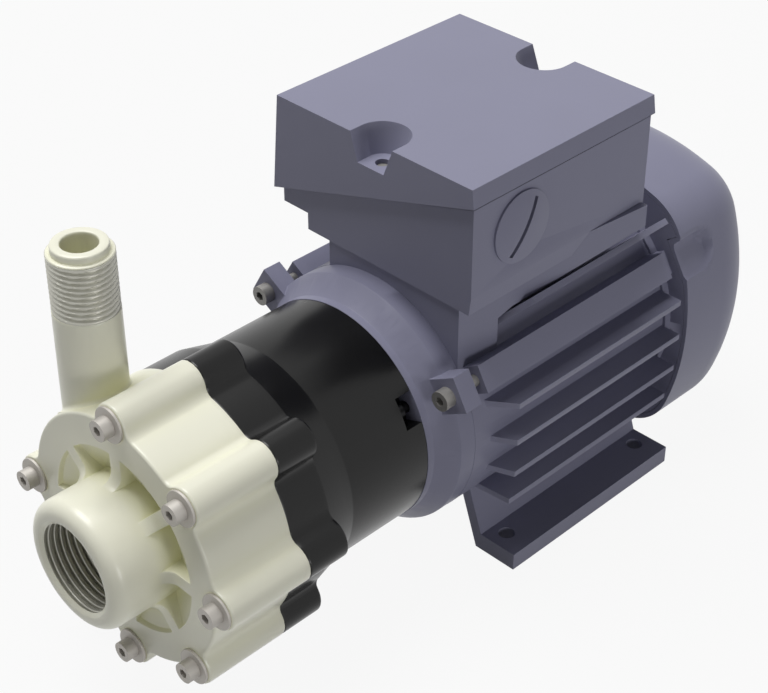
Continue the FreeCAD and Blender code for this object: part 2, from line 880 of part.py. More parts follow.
def drive_magnets():
    """The steel cup on the motor shaft, with the driving magnets inside its rim."""
    cup = turned("cup", [
        (s.cup_front, s.cup_r - s.cup_wall),
        (s.cup_front, s.cup_r),
        (s.cup_rear, s.cup_r),
        (s.cup_rear, s.cup_hub_r),
        (s.cup_hub_rear, s.cup_hub_r),
        (s.cup_hub_rear, s.shaft_end_r),
        (s.cup_rear - s.cup_end, s.shaft_end_r),
        (s.cup_rear - s.cup_end, s.cup_r - s.cup_wall),
    ])
    keyway = block("cup_keyway", s.cup_rear - s.cup_end - 1, -s.key_width / 2, 0,
                   s.cup_hub_rear - s.cup_rear + s.cup_end + 2, s.key_width, s.shaft_end_r + s.key_height / 2)
    grub_x = s.cup_hub_rear - 5
    grub_hole = post("grub_hole", grub_x, 0, s.shaft_end_r + s.key_height / 2 - 1, s.cup_hub_r, s.grub_r)
    keep(cut("drive_cup", cup, keyway, grub_hole), "magnet_cup")
    grub_low = s.shaft_end_r + s.key_height / 2
    grub_top = s.cup_hub_r - 0.5
    grub_pin = post("grub_pin", grub_x, 0, grub_low, grub_top - grub_low, s.grub_r)
    grub_socket = doc.addObject("Part::Prism", "grub_socket")
    grub_socket.Polygon = 6
    bind(grub_socket, "Circumradius", s.grub_r - 0.8)
    bind(grub_socket, "Height", 3)
    place(grub_socket, grub_x, 0, grub_top - 1.8)
    keep(cut("grub", grub_pin, grub_socket), "grub_screw")
    ring = collar("drive_ring", s.cup_front, s.magnet_length, s.cup_r - s.cup_wall, s.cup_r - s.cup_wall - s.magnet)
    keep(segmented("drive_magnet_set", ring, s.cup_front, s.magnet_length), "drive_magnets")
    keep(key_form("key"), "shaft_key")


def bracket():
    """The moulded lantern that carries the pump on the motor's front face."""
    flange = formed("bracket_flange", lobed_plate(
        s.split.value, s.flange_rear.value - s.split.value, s.bracket_front_r.value))
    barrel = turned("bracket_barrel", [
        (s.flange_rear - 1, 0),
        (s.flange_rear - 1, s.bracket_front_r),
        (s.flange_rear, s.bracket_front_r),
        (s.flange_rear + 3, s.bracket_front_r - 0.3),
        (s.bracket_cone - 3, s.bracket_r + 0.4),
        (s.bracket_cone, s.bracket_r),
        (s.shield_face, s.bracket_r),
        (s.shield_face, 0),
    ])
    bore = rod("bracket_bore", s.split - 1, s.shield_face - s.bracket_wall - s.split + 1, s.bracket_bore_r)
    spigot_hole = rod("spigot_hole", s.shield_face - s.bracket_wall - 1, s.bracket_wall + 2, s.spigot_r)
    tools = [bore, spigot_hole]
    for angle in BOSS_ANGLES:
        tools.append(rod(f"insert_bed_{angle}", s.split - 1, s.insert + 1, s.insert_r, s.boss_ring, angle))
        tools.append(rod(f"screw_room_{angle}", s.split - 1, s.casing_screw - s.split + s.face + 1,
                         s.m4_hole_r, s.boss_ring, angle))
    for index, angle in enumerate(lug_angles()):
        tools.append(spoke(f"notch_{index}", s.notch_front, s.shield_face - s.notch_front + 1,
                           s.bracket_screw_ring + s.m4_head_r - 1, s.bracket_r + 3, s.notch_width, angle))
        tools.append(rod(f"head_room_{index}", s.notch_front - 1, s.shield_face - s.bracket_seat - s.notch_front + 1,
                         s.m4_head_r + 0.5, s.bracket_screw_ring, angle))
        tools.append(rod(f"bracket_hole_{index}", s.shield_face - s.bracket_wall - 1, s.bracket_wall + 2,
                         s.m4_hole_r, s.bracket_screw_ring, angle))
    keep(cut("lantern", fused("bracket_solid", flange, barrel), *tools), "bracket")
    screws = [
        socket_screw(f"bracket_screw_{index}", s.shield_face - s.bracket_seat, s.bracket_seat + 5,
                     s.bracket_screw_ring, angle, s.m4_head_r, s.m4_head, s.m4_r)
        for index, angle in enumerate(lug_angles())
    ]
    keep(together("bracket_screw_set", screws), "bracket_screws")


def front_shield():
    """The front end shield: bearing seat, spigot for the bracket, coned rim and three screw lugs."""
    face = s.shield_face
    wall = face + s.shield_wall
    seat = s.front_bearing
    shell = turned("front_shell", [
        (face - s.spigot, s.seal_r),
        (face - s.spigot + s.seal_width, s.seal_r),
        (face - s.spigot + s.seal_width, s.bearing_bore_r + 1),
        (seat, s.bearing_bore_r + 1),
        (seat, s.bearing_r),
        (seat + s.bearing_width + 0.5, s.bearing_r),
        (seat + s.bearing_width + 0.5, s.bearing_r + s.hub_wall),
        (wall, s.bearing_r + s.hub_wall),
        (wall, s.bore_r - 5),
        (wall + 6, s.bore_r - 3),
        (s.barrel_front + s.seat_depth, s.bore_r - 3),
        (s.barrel_front + s.seat_depth, s.bore_r),
        (s.barrel_front, s.bore_r),
        (s.barrel_front, s.shield_r),
        (s.shield_rim, s.shield_r),
        (face + s.shield_band, s.shield_nose_r),
        (face, s.shield_nose_r),
        (face, s.spigot_r),
        (face - s.spigot, s.spigot_r),
    ])
    lugs = []
    holes = []
    for index, angle in enumerate(lug_angles()):
        lugs.append(spoke(f"front_lug_{index}", s.lug_front, s.lug_rear - s.lug_front,
                          s.shield_nose_r, s.lug_r, s.lug_width, angle))
        holes.append(rod(f"front_lug_hole_{index}", s.lug_front - 1, s.barrel_front - s.lug_front + 2,
                         s.m4_hole_r, s.lug_ring, angle))
        holes.append(rod(f"bracket_tap_{index}", face - 1, s.shield_wall + 2, s.m4_tap_r,
                         s.bracket_screw_ring, angle))
    keep(cut("front_end", fused("front_cast", shell, *lugs), *holes), "front_end_shield")
    screws = [
        socket_screw(f"front_screw_{index}", s.lug_front, s.rib_front - s.lug_front + 10, s.lug_ring, angle,
                     s.m4_head_r, s.m4_head, s.m4_r)
        for index, angle in enumerate(lug_angles())
    ]
    keep(together("front_screw_set", screws), "front_shield_screws")
    seal = collar("seal", face - s.spigot, s.seal_width, s.seal_r, s.bearing_bore_r + s.seal_gap)
    keep(seal, "shaft_seal")


def cowl_seats():
    """The angle of each flat of the cowl, and how far out the cowl's inner face is there."""
    dimple = s.dimple_r - s.cowl_wall
    return tuple(zip(lug_angles(), (dimple, dimple, s.cowl_reach - s.cowl_wall)))


def rear_ring():
    """How far from the shaft the screws of the rear end shield stand."""
    return s.cowl_reach - s.cowl_wall - s.m4_head_r - s.rear_screw_edge


def rear_shield():
    """The rear end shield: its plate closes the cowl's mouth and its hub holds the bearing."""
    seat = s.rear_bearing
    plate_rear = s.cowl_front + s.rear_plate
    shell = turned("rear_shell", [
        (s.barrel_rear - s.seat_depth, s.bore_r - s.rear_web),
        (s.barrel_rear - s.seat_depth, s.bore_r),
        (s.barrel_rear, s.bore_r),
        (s.barrel_rear, s.rear_rim_r),
        (plate_rear, s.rear_rim_r),
        (plate_rear, s.bearing_r + s.hub_wall),
        (seat + s.bearing_width + 2, s.bearing_r + s.hub_wall),
        (seat + s.bearing_width + 2, s.bearing_bore_r + 1),
        (seat + s.bearing_width + s.spring_thick, s.bearing_bore_r + 1),
        (seat + s.bearing_width + s.spring_thick, s.bearing_r),
        (plate_rear - s.rear_web, s.bearing_r),
        (plate_rear - s.rear_web, s.bore_r - s.rear_web),
    ])
    scale = (s.cowl_reach.value - s.cowl_wall.value - s.cowl_fit.value) / s.cowl_reach.value
    outline = cushion(s.cowl_front.value, s.cowl_reach.value * scale, s.cowl_bow.value * scale,
                      s.cowl_corner.value * scale)
    sheet_form = formed("plate_form", Part.Face(outline).extrude(FreeCAD.Vector(s.rear_plate.value, 0, 0)))
    trims = [rod("plate_middle", s.cowl_front - 1, s.rear_plate + 2, s.bore_r)]
    lugs = []
    holes = []
    screws = []
    for index, (angle, top) in enumerate(cowl_seats()):
        trims.append(spoke(f"plate_flat_{index}", s.cowl_front - 1, s.rear_plate + 2, top - s.cowl_fit,
                           top + s.dimple_width, s.dimple_width + 2 * s.cowl_wall + 2 * s.cowl_fit, angle))
        lugs.append(spoke(f"rear_lug_{index}", s.barrel_rear, plate_rear - s.barrel_rear, s.bore_r,
                          rear_ring() + s.rear_lug_out, s.rib_width - 1, angle))
        holes.append(rod(f"rear_lug_hole_{index}", s.barrel_rear - 1, plate_rear - s.barrel_rear + 2, s.m4_hole_r,
                         rear_ring(), angle))
        head = rod(f"rear_head_{index}", plate_rear, s.m4_head, s.m4_head_r, rear_ring(), angle)
        shank = rod(f"rear_shank_{index}", s.fin_rear - s.rear_tap_depth + 2,
                    plate_rear - s.fin_rear + s.rear_tap_depth - 1, s.m4_r, rear_ring(), angle)
        screws.append(fused(f"rear_screw_{index}", head, shank))
    plate = cut("rear_plate_cut", sheet_form, *trims)
    keep(cut("rear_end", fused("rear_cast", shell, plate, *lugs), *holes), "rear_end_shield")
    keep(together("rear_screw_set", screws), "rear_shield_screws")
    spring = collar("spring", seat + s.bearing_width, s.spring_thick, s.bearing_r - 0.3, s.bearing_r - 4)
    keep(spring, "wave_spring")


def stator_housing():
    """The finned motor housing with its feet and the neck of the terminal box."""
    barrel = rod("barrel", s.barrel_front, s.barrel_rear - s.barrel_front, s.barrel_r)
    pieces = [barrel]
    for side in (-1, 1):
        for number, (tip, sweep) in enumerate(FIN_FRONTS):
            rise = (1 - number) * s.fin_pitch
            reach = s.fin_reach - rise * rise / (2 * s.fin_bow)
            foot = root(s.barrel_r * s.barrel_r - rise * rise) - 1.5
            pieces.append(upright(f"fin_{'near' if side < 0 else 'far'}_{number + 1}", [
                (tip - sweep, side * foot),
                (tip, side * reach),
                (s.fin_rear, side * reach),
                (s.fin_rear, side * foot),
            ], rise - s.fin_thick / 2, s.fin_thick))
    for name, angle in (("top_fin_far", 45), ("top_fin_near", 135)):
        pieces.append(shared(
            name,
            spoke(name + "_blank", -s.neck_step + 1, s.fin_rear + s.neck_step - 1, s.bore_r + 1,
                  s.top_fin_r, s.fin_thick, angle),
            turned(name + "_limit", [
                (-s.neck_step, s.bore_r),
                (-s.neck_step, s.barrel_r + 1),
                (s.top_fin_front, s.top_fin_r + 1),
                (s.fin_rear + 1, s.top_fin_r + 1),
                (s.fin_rear + 1, s.bore_r),
            ]),
        ))
    for index, angle in enumerate(lug_angles()):
        pieces.append(spoke(f"rib_{index}", s.rib_front, s.fin_rear - s.rib_front, s.bore_r + 1, s.rib_r,
                            s.rib_width, angle))
    lean = sine(s.web_lean) / cosine(s.web_lean)
    base = -s.shaft_height
    web_y = s.foot_inside + s.foot_web / cosine(s.web_lean) - lean * s.foot_thick
    rise = as_size(30)
    for side in (-1, 1):
        pieces.append(across_x(f"foot_{'near' if side < 0 else 'far'}", [
            (side * s.foot_width / 2, base),
            (side * s.foot_width / 2, base + s.foot_thick),
            (side * web_y, base + s.foot_thick),
            (side * (web_y - lean * (rise - s.foot_thick)), base + rise),
            (side * (s.foot_inside - lean * rise), base + rise),
            (side * s.foot_inside, base),
        ], -s.foot_length / 2, s.foot_length))
    top = s.box_floor - s.plinth
    slope = (s.neck_near_rear - s.neck_near_front) / (s.neck_rear + s.neck_front)
    wall = s.box_near + s.cowl_fit * 2
    plan = upright("neck_plan", [
        (-s.neck_front, -s.neck_near_front),
        (-s.neck_front, s.neck_far),
        (s.neck_rear, s.neck_far),
        (s.neck_rear, -s.neck_near_rear),
    ], s.neck_foot, top - s.neck_foot)
    profile = along_y("neck_profile", [
        (-s.neck_front, s.neck_foot),
        (-s.neck_step, s.neck_foot),
        (-s.neck_step, s.neck_under - s.neck_chamfer),
        (s.neck_chamfer - s.neck_step, s.neck_under),
        (s.neck_rear, s.neck_under),
        (s.neck_rear, top),
        (-s.neck_front, top),
    ], s.foot_width / 2)
    pieces.append(shared("neck_head", plan, profile))
    pieces.append(block("neck_body", -s.neck_step, -s.neck_inner, s.neck_foot, s.neck_step + s.neck_rear,
                        s.neck_inner + s.neck_far, top - s.neck_foot))
    pieces.append(upright("neck_ledge", [
        ((wall - s.neck_near_front) / slope - s.neck_front, -wall),
        (s.neck_rear, -wall),
        (s.neck_rear, -s.neck_near_rear),
    ], top - 1, s.plinth + 1))
    tools = [rod("stator_bore", s.barrel_front - 1, s.barrel_rear - s.barrel_front + 2, s.bore_r)]
    tools.append(post("wire_duct", (s.box_front + s.box_rear) / 2, (s.neck_far - s.neck_inner) / 2, s.neck_foot,
                      top + 1 - s.neck_foot, s.duct_r))
    for index, angle in enumerate(lug_angles()):
        tools.append(rod(f"front_tap_{index}", s.rib_front - 3, 14, s.m4_tap_r, s.lug_ring, angle))
        tools.append(rod(f"rear_tap_{index}", s.fin_rear - s.rear_tap_depth, s.rear_tap_depth + 2, s.m4_tap_r,
                         rear_ring(), angle))
    for side in (-1, 1):
        for end in (-1, 1):
            tools.append(post(f"foot_hole_{side + 1}{end + 1}", end * s.hole_span_x / 2,
                              side * s.hole_span_y / 2, base - 1, s.foot_thick + 2, s.foot_hole_r))
    keep(cut("housing", fused("housing_cast", *pieces), *tools), "stator_housing")


def motor_inside():
    """Stator core and winding, and the rotor on its shaft."""
    half = s.core_length / 2
    keep(collar("core", -half, s.core_length, s.bore_r, s.stator_bore_r), "stator_core")
    windings = [
        collar("winding_front", -half - s.winding_out, s.winding_out, s.winding_high_r, s.winding_low_r),
        collar("winding_rear", half, s.winding_out, s.winding_high_r, s.winding_low_r),
    ]
    keep(together("winding", windings), "stator_winding")
    front = s.front_bearing + s.bearing_width
    rear = s.rear_bearing
    fan_start = rear + s.bearing_width + 2
    shaft = turned("shaft_turned", [
        (s.shield_face - s.shaft_end, 0),
        (s.shield_face - s.shaft_end, s.shaft_end_r),
        (s.shield_face, s.shaft_end_r),
        (s.shield_face, s.bearing_bore_r),
        (front, s.bearing_bore_r),
        (front, s.shaft_body_r),
        (rear, s.shaft_body_r),
        (rear, s.bearing_bore_r),
        (fan_start, s.bearing_bore_r),
        (fan_start, s.fan_seat_r),
        (fan_start + s.fan_seat, s.fan_seat_r),
        (fan_start + s.fan_seat, 0),
    ])
    keep(cut("shaft_cut", shaft, key_form("key_bed")), "shaft")
    keep(collar("laminations", -half, s.core_length, s.rotor_r, s.shaft_body_r), "rotor_core")
    rings = [
        collar("cage_front", -half - s.cage_end, s.cage_end, s.rotor_r - 0.5, s.rotor_r - s.cage_ring),
        collar("cage_rear", half, s.cage_end, s.rotor_r - 0.5, s.rotor_r - s.cage_ring),
    ]
    keep(together("cage", rings), "rotor_cage")


def bearing(name, x):
    """A deep-groove ball bearing: outer ring, inner ring and a set of balls."""
    middle = x + s.bearing_width / 2
    track = (s.bearing_bore_r + s.bearing_r) / 2
    groove = doc.addObject("Part::Torus", name + "_track")
    bind(groove, "Radius1", track)
    bind(groove, "Radius2", s.ball_r + 0.05)
    groove.Placement.Rotation = FreeCAD.Rotation(AXIS_Y, 90)
    place(groove, middle, 0, 0)
    outer = collar(name + "_outer_blank", x, s.bearing_width, s.bearing_r, s.bearing_r - s.race)
    inner = collar(name + "_inner_blank", x, s.bearing_width, s.bearing_bore_r + s.race, s.bearing_bore_r)
    keep(cut(name + "_outer", outer, groove), name + "_outer_ring")
    keep(cut(name + "_inner", inner, groove), name + "_inner_ring")
    balls = []
    for index in range(SIZES["ball_count"]):
        ball = doc.addObject("Part::Sphere", f"{name}_ball_{index}")
        bind(ball, "Radius", s.ball_r)
        angle = 360.0 / SIZES["ball_count"] * index
        place(ball, middle, track * cosine(angle), track * sine(angle))
        balls.append(ball)
    keep(together(name + "_balls", balls), name + "_balls")


def fan():
    """The cooling fan on the rear end of the shaft."""
    start = s.rear_bearing + s.bearing_width + 2.5
    hub = rod("fan_hub", start, s.fan_blade + 2, s.fan_hub_r)
    disc = rod("fan_plate", start, s.fan_disc, s.fan_disc_r)
    blades = [
        spoke(f"blade_{index}", start, s.fan_blade, s.fan_hub_r - 1, s.fan_blade_r, 2,
              360.0 / SIZES["fan_blades"] * index)
        for index in range(SIZES["fan_blades"])
    ]
    bore = rod("fan_bore", start - 1, s.fan_blade + 4, s.fan_seat_r)
    keep(cut("fan_wheel", fused("fan_solid", hub, disc, *blades), bore), "fan")
    keep(collar("fan_clip", start + s.fan_blade + 2, 1, s.fan_seat_r + 2.5, s.fan_seat_r), "fan_clip")


def fan_cowl():
    """The pressed cowl over the fan, with a grille at its back and flats that grip the rear shield."""
    outer = formed("cowl_outer", cowl_form(s.cowl_front.value, s.cowl_rear.value, 0.0))
    inner = formed("cowl_inner", cowl_form(s.cowl_front.value - 1, s.cowl_rear.value, s.cowl_wall.value))
    flats_out = []
    flats_in = []
    run = s.dimple_end - s.cowl_front - s.dimple_width / 2
    for index, (angle, seat) in enumerate(cowl_seats()):
        top = seat + s.cowl_wall
        flats_out.append(fused(
            f"dimple_{index}",
            spoke(f"dimple_run_{index}", s.cowl_front - 1, run + 1, top, top + 12, s.dimple_width, angle),
            radial_post(f"dimple_round_{index}", s.cowl_front + run, top, 12, s.dimple_width / 2, angle),
        ))
        flats_in.append(spoke(f"dimple_back_{index}", s.cowl_front - 2, s.dimple_end - s.cowl_front + 4,
                              seat, top + 12, s.dimple_width + 2 * s.cowl_wall, angle))
    hollow = cut("cowl_hollow", inner, *flats_in)
    slots = []
    for index in range(SIZES["grille_count"]):
        slots.append(spoke(f"slot_{index}", s.cowl_rear - s.cowl_wall - 1, s.cowl_wall + 2, s.grille_low_r,
                           s.grille_high_r, s.grille_slot, 360.0 / SIZES["grille_count"] * index))
    keep(cut("cowl", outer, hollow, *flats_out, *slots), "fan_cowl")


def radial_post(name, x, low, height, radius, angle):
    """A cylinder that stands out from the axis at an angle."""
    thing = doc.addObject("Part::Cylinder", name)
    bind(thing, "Radius", radius)
    bind(thing, "Height", height)
    turn = as_size(angle)
    thing.Placement.Rotation = FreeCAD.Rotation(AXIS_X, turn.value - 90)
    place(thing, x, low * cosine(turn), low * sine(turn))
    return thing


def parting(y):
    """The height of the slanted joint between box and lid at a place across it."""
    y = as_size(y)
    slope = (s.part_near - s.part_far) / (s.box_near + s.box_far)
    return s.part_far + (s.box_far - y) * slope


def box_outline(inset, low, drop=0):
    """A section of the box below the slanted joint, drawn in from its walls."""
    near = -s.box_near + inset
    far = s.box_far - inset
    return [(near, low), (far, low), (far, parting(far) - drop), (near, parting(near) - drop)]


def terminal_box():
    """The terminal box base on the housing neck, its slanted gasket and lid."""
    length = s.box_rear - s.box_front
    plinth_low = s.box_floor - s.plinth
    tray = across_x("tray", box_outline(0, s.box_floor, s.gasket), s.box_front, length)
    plinth = across_x("plinth_block", [
        (0.8 - s.box_near, plinth_low),
        (s.plinth_far, plinth_low),
        (s.plinth_far, s.box_floor + 1),
        (-s.box_near, s.box_floor + 1),
        (-s.box_near, s.box_floor),
    ], s.box_front, length)
    room = across_x("tray_room", box_outline(s.box_wall, s.box_floor + s.box_wall, s.gasket - 2),
                    s.box_front + s.box_wall, length - 2 * s.box_wall)
    screw_x = (s.box_front + s.well_front, s.box_rear - s.well_rear)
    pillars = [
        shared(f"lid_pillar_{index}",
               post(f"pillar_{index}", x, s.notch_y, s.box_floor, 60, s.lid_boss_r),
               across_x(f"pillar_trim_{index}", box_outline(0, s.box_floor, s.gasket), s.box_front, length))
        for index, x in enumerate(screw_x)
    ]
    duct = post("box_duct", (s.box_front + s.box_rear) / 2, (s.neck_far - s.neck_inner) / 2, plinth_low - 1,
                s.plinth + s.box_wall + 2, s.duct_r)
    plug_hole = cross_pin("plug_hole", s.plug_x, -s.box_near - 1, s.plug_z, s.box_wall + 2, s.plug_thread_r)
    ring_bed = cross_pin("ring_bed", s.plug_x, -s.box_near - 1, s.plug_z, s.plug_ring + 1,
                         s.plug_thread_r + s.plug_ring_width)
    taps = [post(f"lid_tap_{index}", x, s.notch_y, s.notch_floor - 26, 40, s.lid_shank_r) for index, x in enumerate(screw_x)]
    posts = []
    middle_x = (s.box_front + s.box_rear) / 2
    board_z = s.box_floor + s.box_wall + s.board_lift
    for side in (-1, 1):
        posts.append(post(f"board_post_{side + 1}", middle_x + side * (s.board_length / 2 - 3),
                          s.board_y, s.box_floor + 1, board_z - s.box_floor - 1, 3))
    base = fused("box_base", cut("tray_hollow", fused("tray_solid", tray, plinth), room), *pillars, *posts)
    keep(cut("box", base, duct, plug_hole, ring_bed, *taps), "terminal_box")
    frame = across_x("gasket_blank", slanted(0, s.gasket), s.box_front, length)
    opening = across_x("gasket_open", slanted(s.box_wall, s.gasket + 2, 1), s.box_front + s.box_wall,
                       length - 2 * s.box_wall)
    strap_holes = [post(f"gasket_hole_{index}", x, s.notch_y, s.notch_floor - 26, 40, s.lid_shank_r)
                   for index, x in enumerate(screw_x)]
    keep(cut("gasket", frame, opening, *strap_holes), "lid_gasket")
    lid(length, screw_x)


def slanted(inset, thick, drop=0):
    """A slanted layer on the joint."""
    near = -s.box_near + inset
    far = s.box_far - inset
    low_near = parting(near) - s.gasket - drop
    low_far = parting(far) - s.gasket - drop
    return [(near, low_near), (far, low_far), (far, low_far + thick), (near, low_near + thick)]


def lid_block(name):
    """The lid's outside: slanted below, with four drafted walls."""
    near = -s.box_near - s.lid_lip_near
    far = s.box_far + s.lid_lip_far
    front = s.box_front - s.lid_lip_front
    rear = s.box_rear + s.lid_lip_rear
    across = across_x(name + "_across", [
        (near, parting(near)),
        (far, parting(far)),
        (far - s.lid_draft_far, s.lid_top),
        (near + s.lid_draft_near, s.lid_top),
    ], front, rear - front)
    along = along_y(name + "_along", [
        (front, s.part_far - s.lid_wall),
        (rear, s.part_far - s.lid_wall),
        (rear - s.lid_draft_rear, s.lid_top),
        (front + s.lid_draft_front, s.lid_top),
    ], s.foot_width / 2)
    return shared(name, across, along)


def notch(name, x, towards, grow, drop, rise):
    """A tapered well over a lid screw that stays open towards the lid's end."""
    low = s.notch_floor - drop
    top = s.lid_top + rise
    reach = s.notch_r * 2 * towards
    cone = doc.addObject("Part::Cone", name + "_cone")
    bind(cone, "Radius1", s.notch_floor_r + grow)
    bind(cone, "Radius2", s.notch_r + grow)
    bind(cone, "Height", top - low)
    place(cone, x, s.notch_y, low)
    way = across_x(name + "_way", [
        (s.notch_y - s.notch_floor_r - grow, low),
        (s.notch_y + s.notch_floor_r + grow, low),
        (s.notch_y + s.notch_r + grow, top),
        (s.notch_y - s.notch_r - grow, top),
    ], x if towards > 0 else x + reach, s.notch_r * 2)
    return fused(name, cone, way)


def lid(length, screw_x):
    """The deep lid: slanted below, flat on top, with an open well over each screw."""
    shell = lid_block("lid_shell")
    room = across_x("lid_room", [
        (-s.box_near + s.lid_wall, parting(-s.box_near + s.lid_wall) - 1),
        (s.box_far - s.lid_wall, parting(s.box_far - s.lid_wall) - 1),
        (s.box_far - s.lid_wall, s.lid_top - s.lid_wall),
        (-s.box_near + s.lid_wall, s.lid_top - s.lid_wall),
    ], s.box_front + s.lid_wall, length - 2 * s.lid_wall)
    hollow = cut("lid_hollow", shell, room)
    wells = []
    floors = []
    holes = []
    for index, (x, towards) in enumerate(zip(screw_x, (-1, 1))):
        wells.append(notch(f"well_{index}", x, towards, 0, 0, 0.4))
        wrap = notch(f"well_wrap_{index}", x, towards, s.lid_wall, s.lid_wall, 0)
        pillar = post(f"notch_pillar_{index}", x, s.notch_y, s.notch_floor - 30, 30, s.lid_boss_r + 1)
        floors.append(shared(f"notch_shell_{index}", fused(f"notch_solid_{index}", wrap, pillar),
                             lid_block(f"notch_trim_{index}")))
        holes.append(post(f"lid_hole_{index}", x, s.notch_y, s.notch_floor - 30, 40, s.lid_screw_r + 0.1))
    keep(cut("lid", fused("lid_solid", hollow, *floors), *wells, *holes), "terminal_lid")
    screws = []
    for index, x in enumerate(screw_x):
        head = post(f"lid_head_{index}", x, s.notch_y, s.notch_floor - 5, 3.5, s.lid_screw_r)
        shank = post(f"lid_shank_{index}", x, s.notch_y, s.notch_floor - 24, 20, s.lid_shank_r)
        screws.append(fused(f"lid_screw_{index}", head, shank))
    keep(together("lid_screw_set", screws), "lid_screws")


def blanking_plug():
    """The slotted round plug in the near wall of the box, with its sealing ring."""
    wall = -s.box_near
    head = cross_pin("plug_crown", s.plug_x, wall - s.plug_head, s.plug_z, s.plug_head, s.plug_r)
    thread = cross_pin("plug_thread", s.plug_x, wall - 1, s.plug_z, s.box_wall + 5, s.plug_thread_r)
    slot = doc.addObject("Part::Box", "plug_slot_bar")
    bind(slot, "Length", 2 * (s.plug_r - 2))
    bind(slot, "Width", as_size(1.2))
    bind(slot, "Height", s.plug_slot)
    turn = s.plug_slot_turn
    slot.Placement.Rotation = FreeCAD.Rotation(AXIS_Y, -turn.value)
    along = s.plug_r - 2
    place(slot,
          s.plug_x - along * cosine(turn) + s.plug_slot / 2 * sine(turn),
          wall - s.plug_head - 0.2,
          s.plug_z - along * sine(turn) - s.plug_slot / 2 * cosine(turn))
    keep(cut("plug", fused("plug_solid", head, thread), slot), "blanking_plug")
    outer = cross_pin("plug_seal_disc", s.plug_x, wall, s.plug_z, s.plug_ring, s.plug_thread_r + s.plug_ring_width)
    inner = cross_pin("plug_seal_hole", s.plug_x, wall - 1, s.plug_z, s.plug_ring + 2, s.plug_thread_r)
    keep(cut("plug_seal", outer, inner), "plug_seal")


def terminal_board():
    """The terminal board with six studs, nuts and three bridging links."""
    middle_x = (s.box_front + s.box_rear) / 2
    middle_y = s.board_y
    low = s.box_floor + s.box_wall + s.board_lift
    board = block("board_slab", middle_x - s.board_length / 2, middle_y - s.board_width / 2, low, s.board_length,
                  s.board_width, s.board_thick)
    holes = []
    studs = []
    nuts = []
    links = []
    for column in (-1, 0, 1):
        x = middle_x + column * (s.stud_pitch_x - 3)
        for row_side in (-1, 1):
            y = middle_y + row_side * s.stud_pitch_y / 2
            tag = f"{column + 1}{row_side + 1}"
            holes.append(post(f"stud_hole_{tag}", x, y, low - 1, s.board_thick + 2, s.stud_r))
            studs.append(post(f"stud_{tag}", x, y, low, s.board_thick + s.stud_stand, s.stud_r))
            nut = doc.addObject("Part::Prism", f"nut_blank_{tag}")
            nut.Polygon = 6
            bind(nut, "Circumradius", s.nut_r)
            bind(nut, "Height", s.nut_thick)
            place(nut, x, y, low + s.board_thick + s.link_thick)
            hole = post(f"nut_hole_{tag}", x, y, low + s.board_thick, s.nut_thick + 3, s.stud_r)
            nuts.append(cut(f"nut_{tag}", nut, hole))
        bar = block(f"link_bar_{column + 1}", x - s.nut_r, middle_y - s.stud_pitch_y / 2 - s.nut_r,
                    low + s.board_thick, 2 * s.nut_r, s.stud_pitch_y + 2 * s.nut_r, s.link_thick)
        ends = [post(f"link_hole_{column + 1}{row_side + 1}", x, middle_y + row_side * s.stud_pitch_y / 2,
                     low + s.board_thick - 1, s.link_thick + 2, s.stud_r) for row_side in (-1, 1)]
        links.append(cut(f"link_{column + 1}", bar, *ends))
    keep(cut("board", board, *holes), "terminal_board")
    keep(together("stud_set", studs), "terminal_studs")
    keep(together("nut_set", nuts), "terminal_nuts")
    keep(together("link_set", links), "terminal_links")


def check_and_write():
    """Stops on any failed object, then writes one file for each node."""
    doc.recompute()
    failed = [item.Name for item in doc.Objects if "Invalid" in item.State or "Error" in item.State]
    if failed:
        raise RuntimeError("objects that failed: " + ", ".join(failed))
    os.makedirs("parts", exist_ok=True)
    for thing in nodes:
        shape = thing.Shape
        if shape.isNull() or not shape.isValid() or not shape.Solids:
            raise RuntimeError(thing.Label + " has no valid solid")
    for thing in nodes:
        thing.Shape.exportStep(f"parts/{thing.Label}.step")
        print(f"{thing.Label}: {len(thing.Shape.Solids)} solids, {thing.Shape.Volume / 1000:.2f} cm3")
    print(len(nodes), "nodes")


pump_casing()
casing_fasteners()
containment_shell()
impeller()
drive_magnets()
bracket()
front_shield()
rear_shield()
stator_housing()
motor_inside()
bearing("front_bearing", s.front_bearing)
bearing("rear_bearing", s.rear_bearing)
fan()
fan_cowl()
terminal_box()
blanking_plug()
terminal_board()
check_and_write()
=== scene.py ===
"""Looks of a close-coupled magnetic-drive centrifugal pump and its foot-mounted motor.

Lengths in the settings are in metres. Surfaces are worked out in millimetres,
about the shaft axis, and are lifted to the shaft's height when they are made.
"""
import json
import math

import bmesh
import bpy
import numpy as np
from mathutils import Matrix, Vector


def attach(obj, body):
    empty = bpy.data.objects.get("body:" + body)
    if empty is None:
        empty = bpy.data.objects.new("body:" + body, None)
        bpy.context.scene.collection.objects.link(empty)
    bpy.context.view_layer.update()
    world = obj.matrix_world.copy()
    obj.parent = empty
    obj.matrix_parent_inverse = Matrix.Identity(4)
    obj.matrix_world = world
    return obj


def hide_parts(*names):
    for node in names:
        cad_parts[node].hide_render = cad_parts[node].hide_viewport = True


bl_info = {
    "name": "Magnetic-drive centrifugal pump",
    "version": (1, 0, 0),
    "blender": (4, 5, 0),
    "location": "3D View > Sidebar > Pump",
    "description": "Builds a magnetic-drive centrifugal pump with its motor",
    "category": "Object",
}

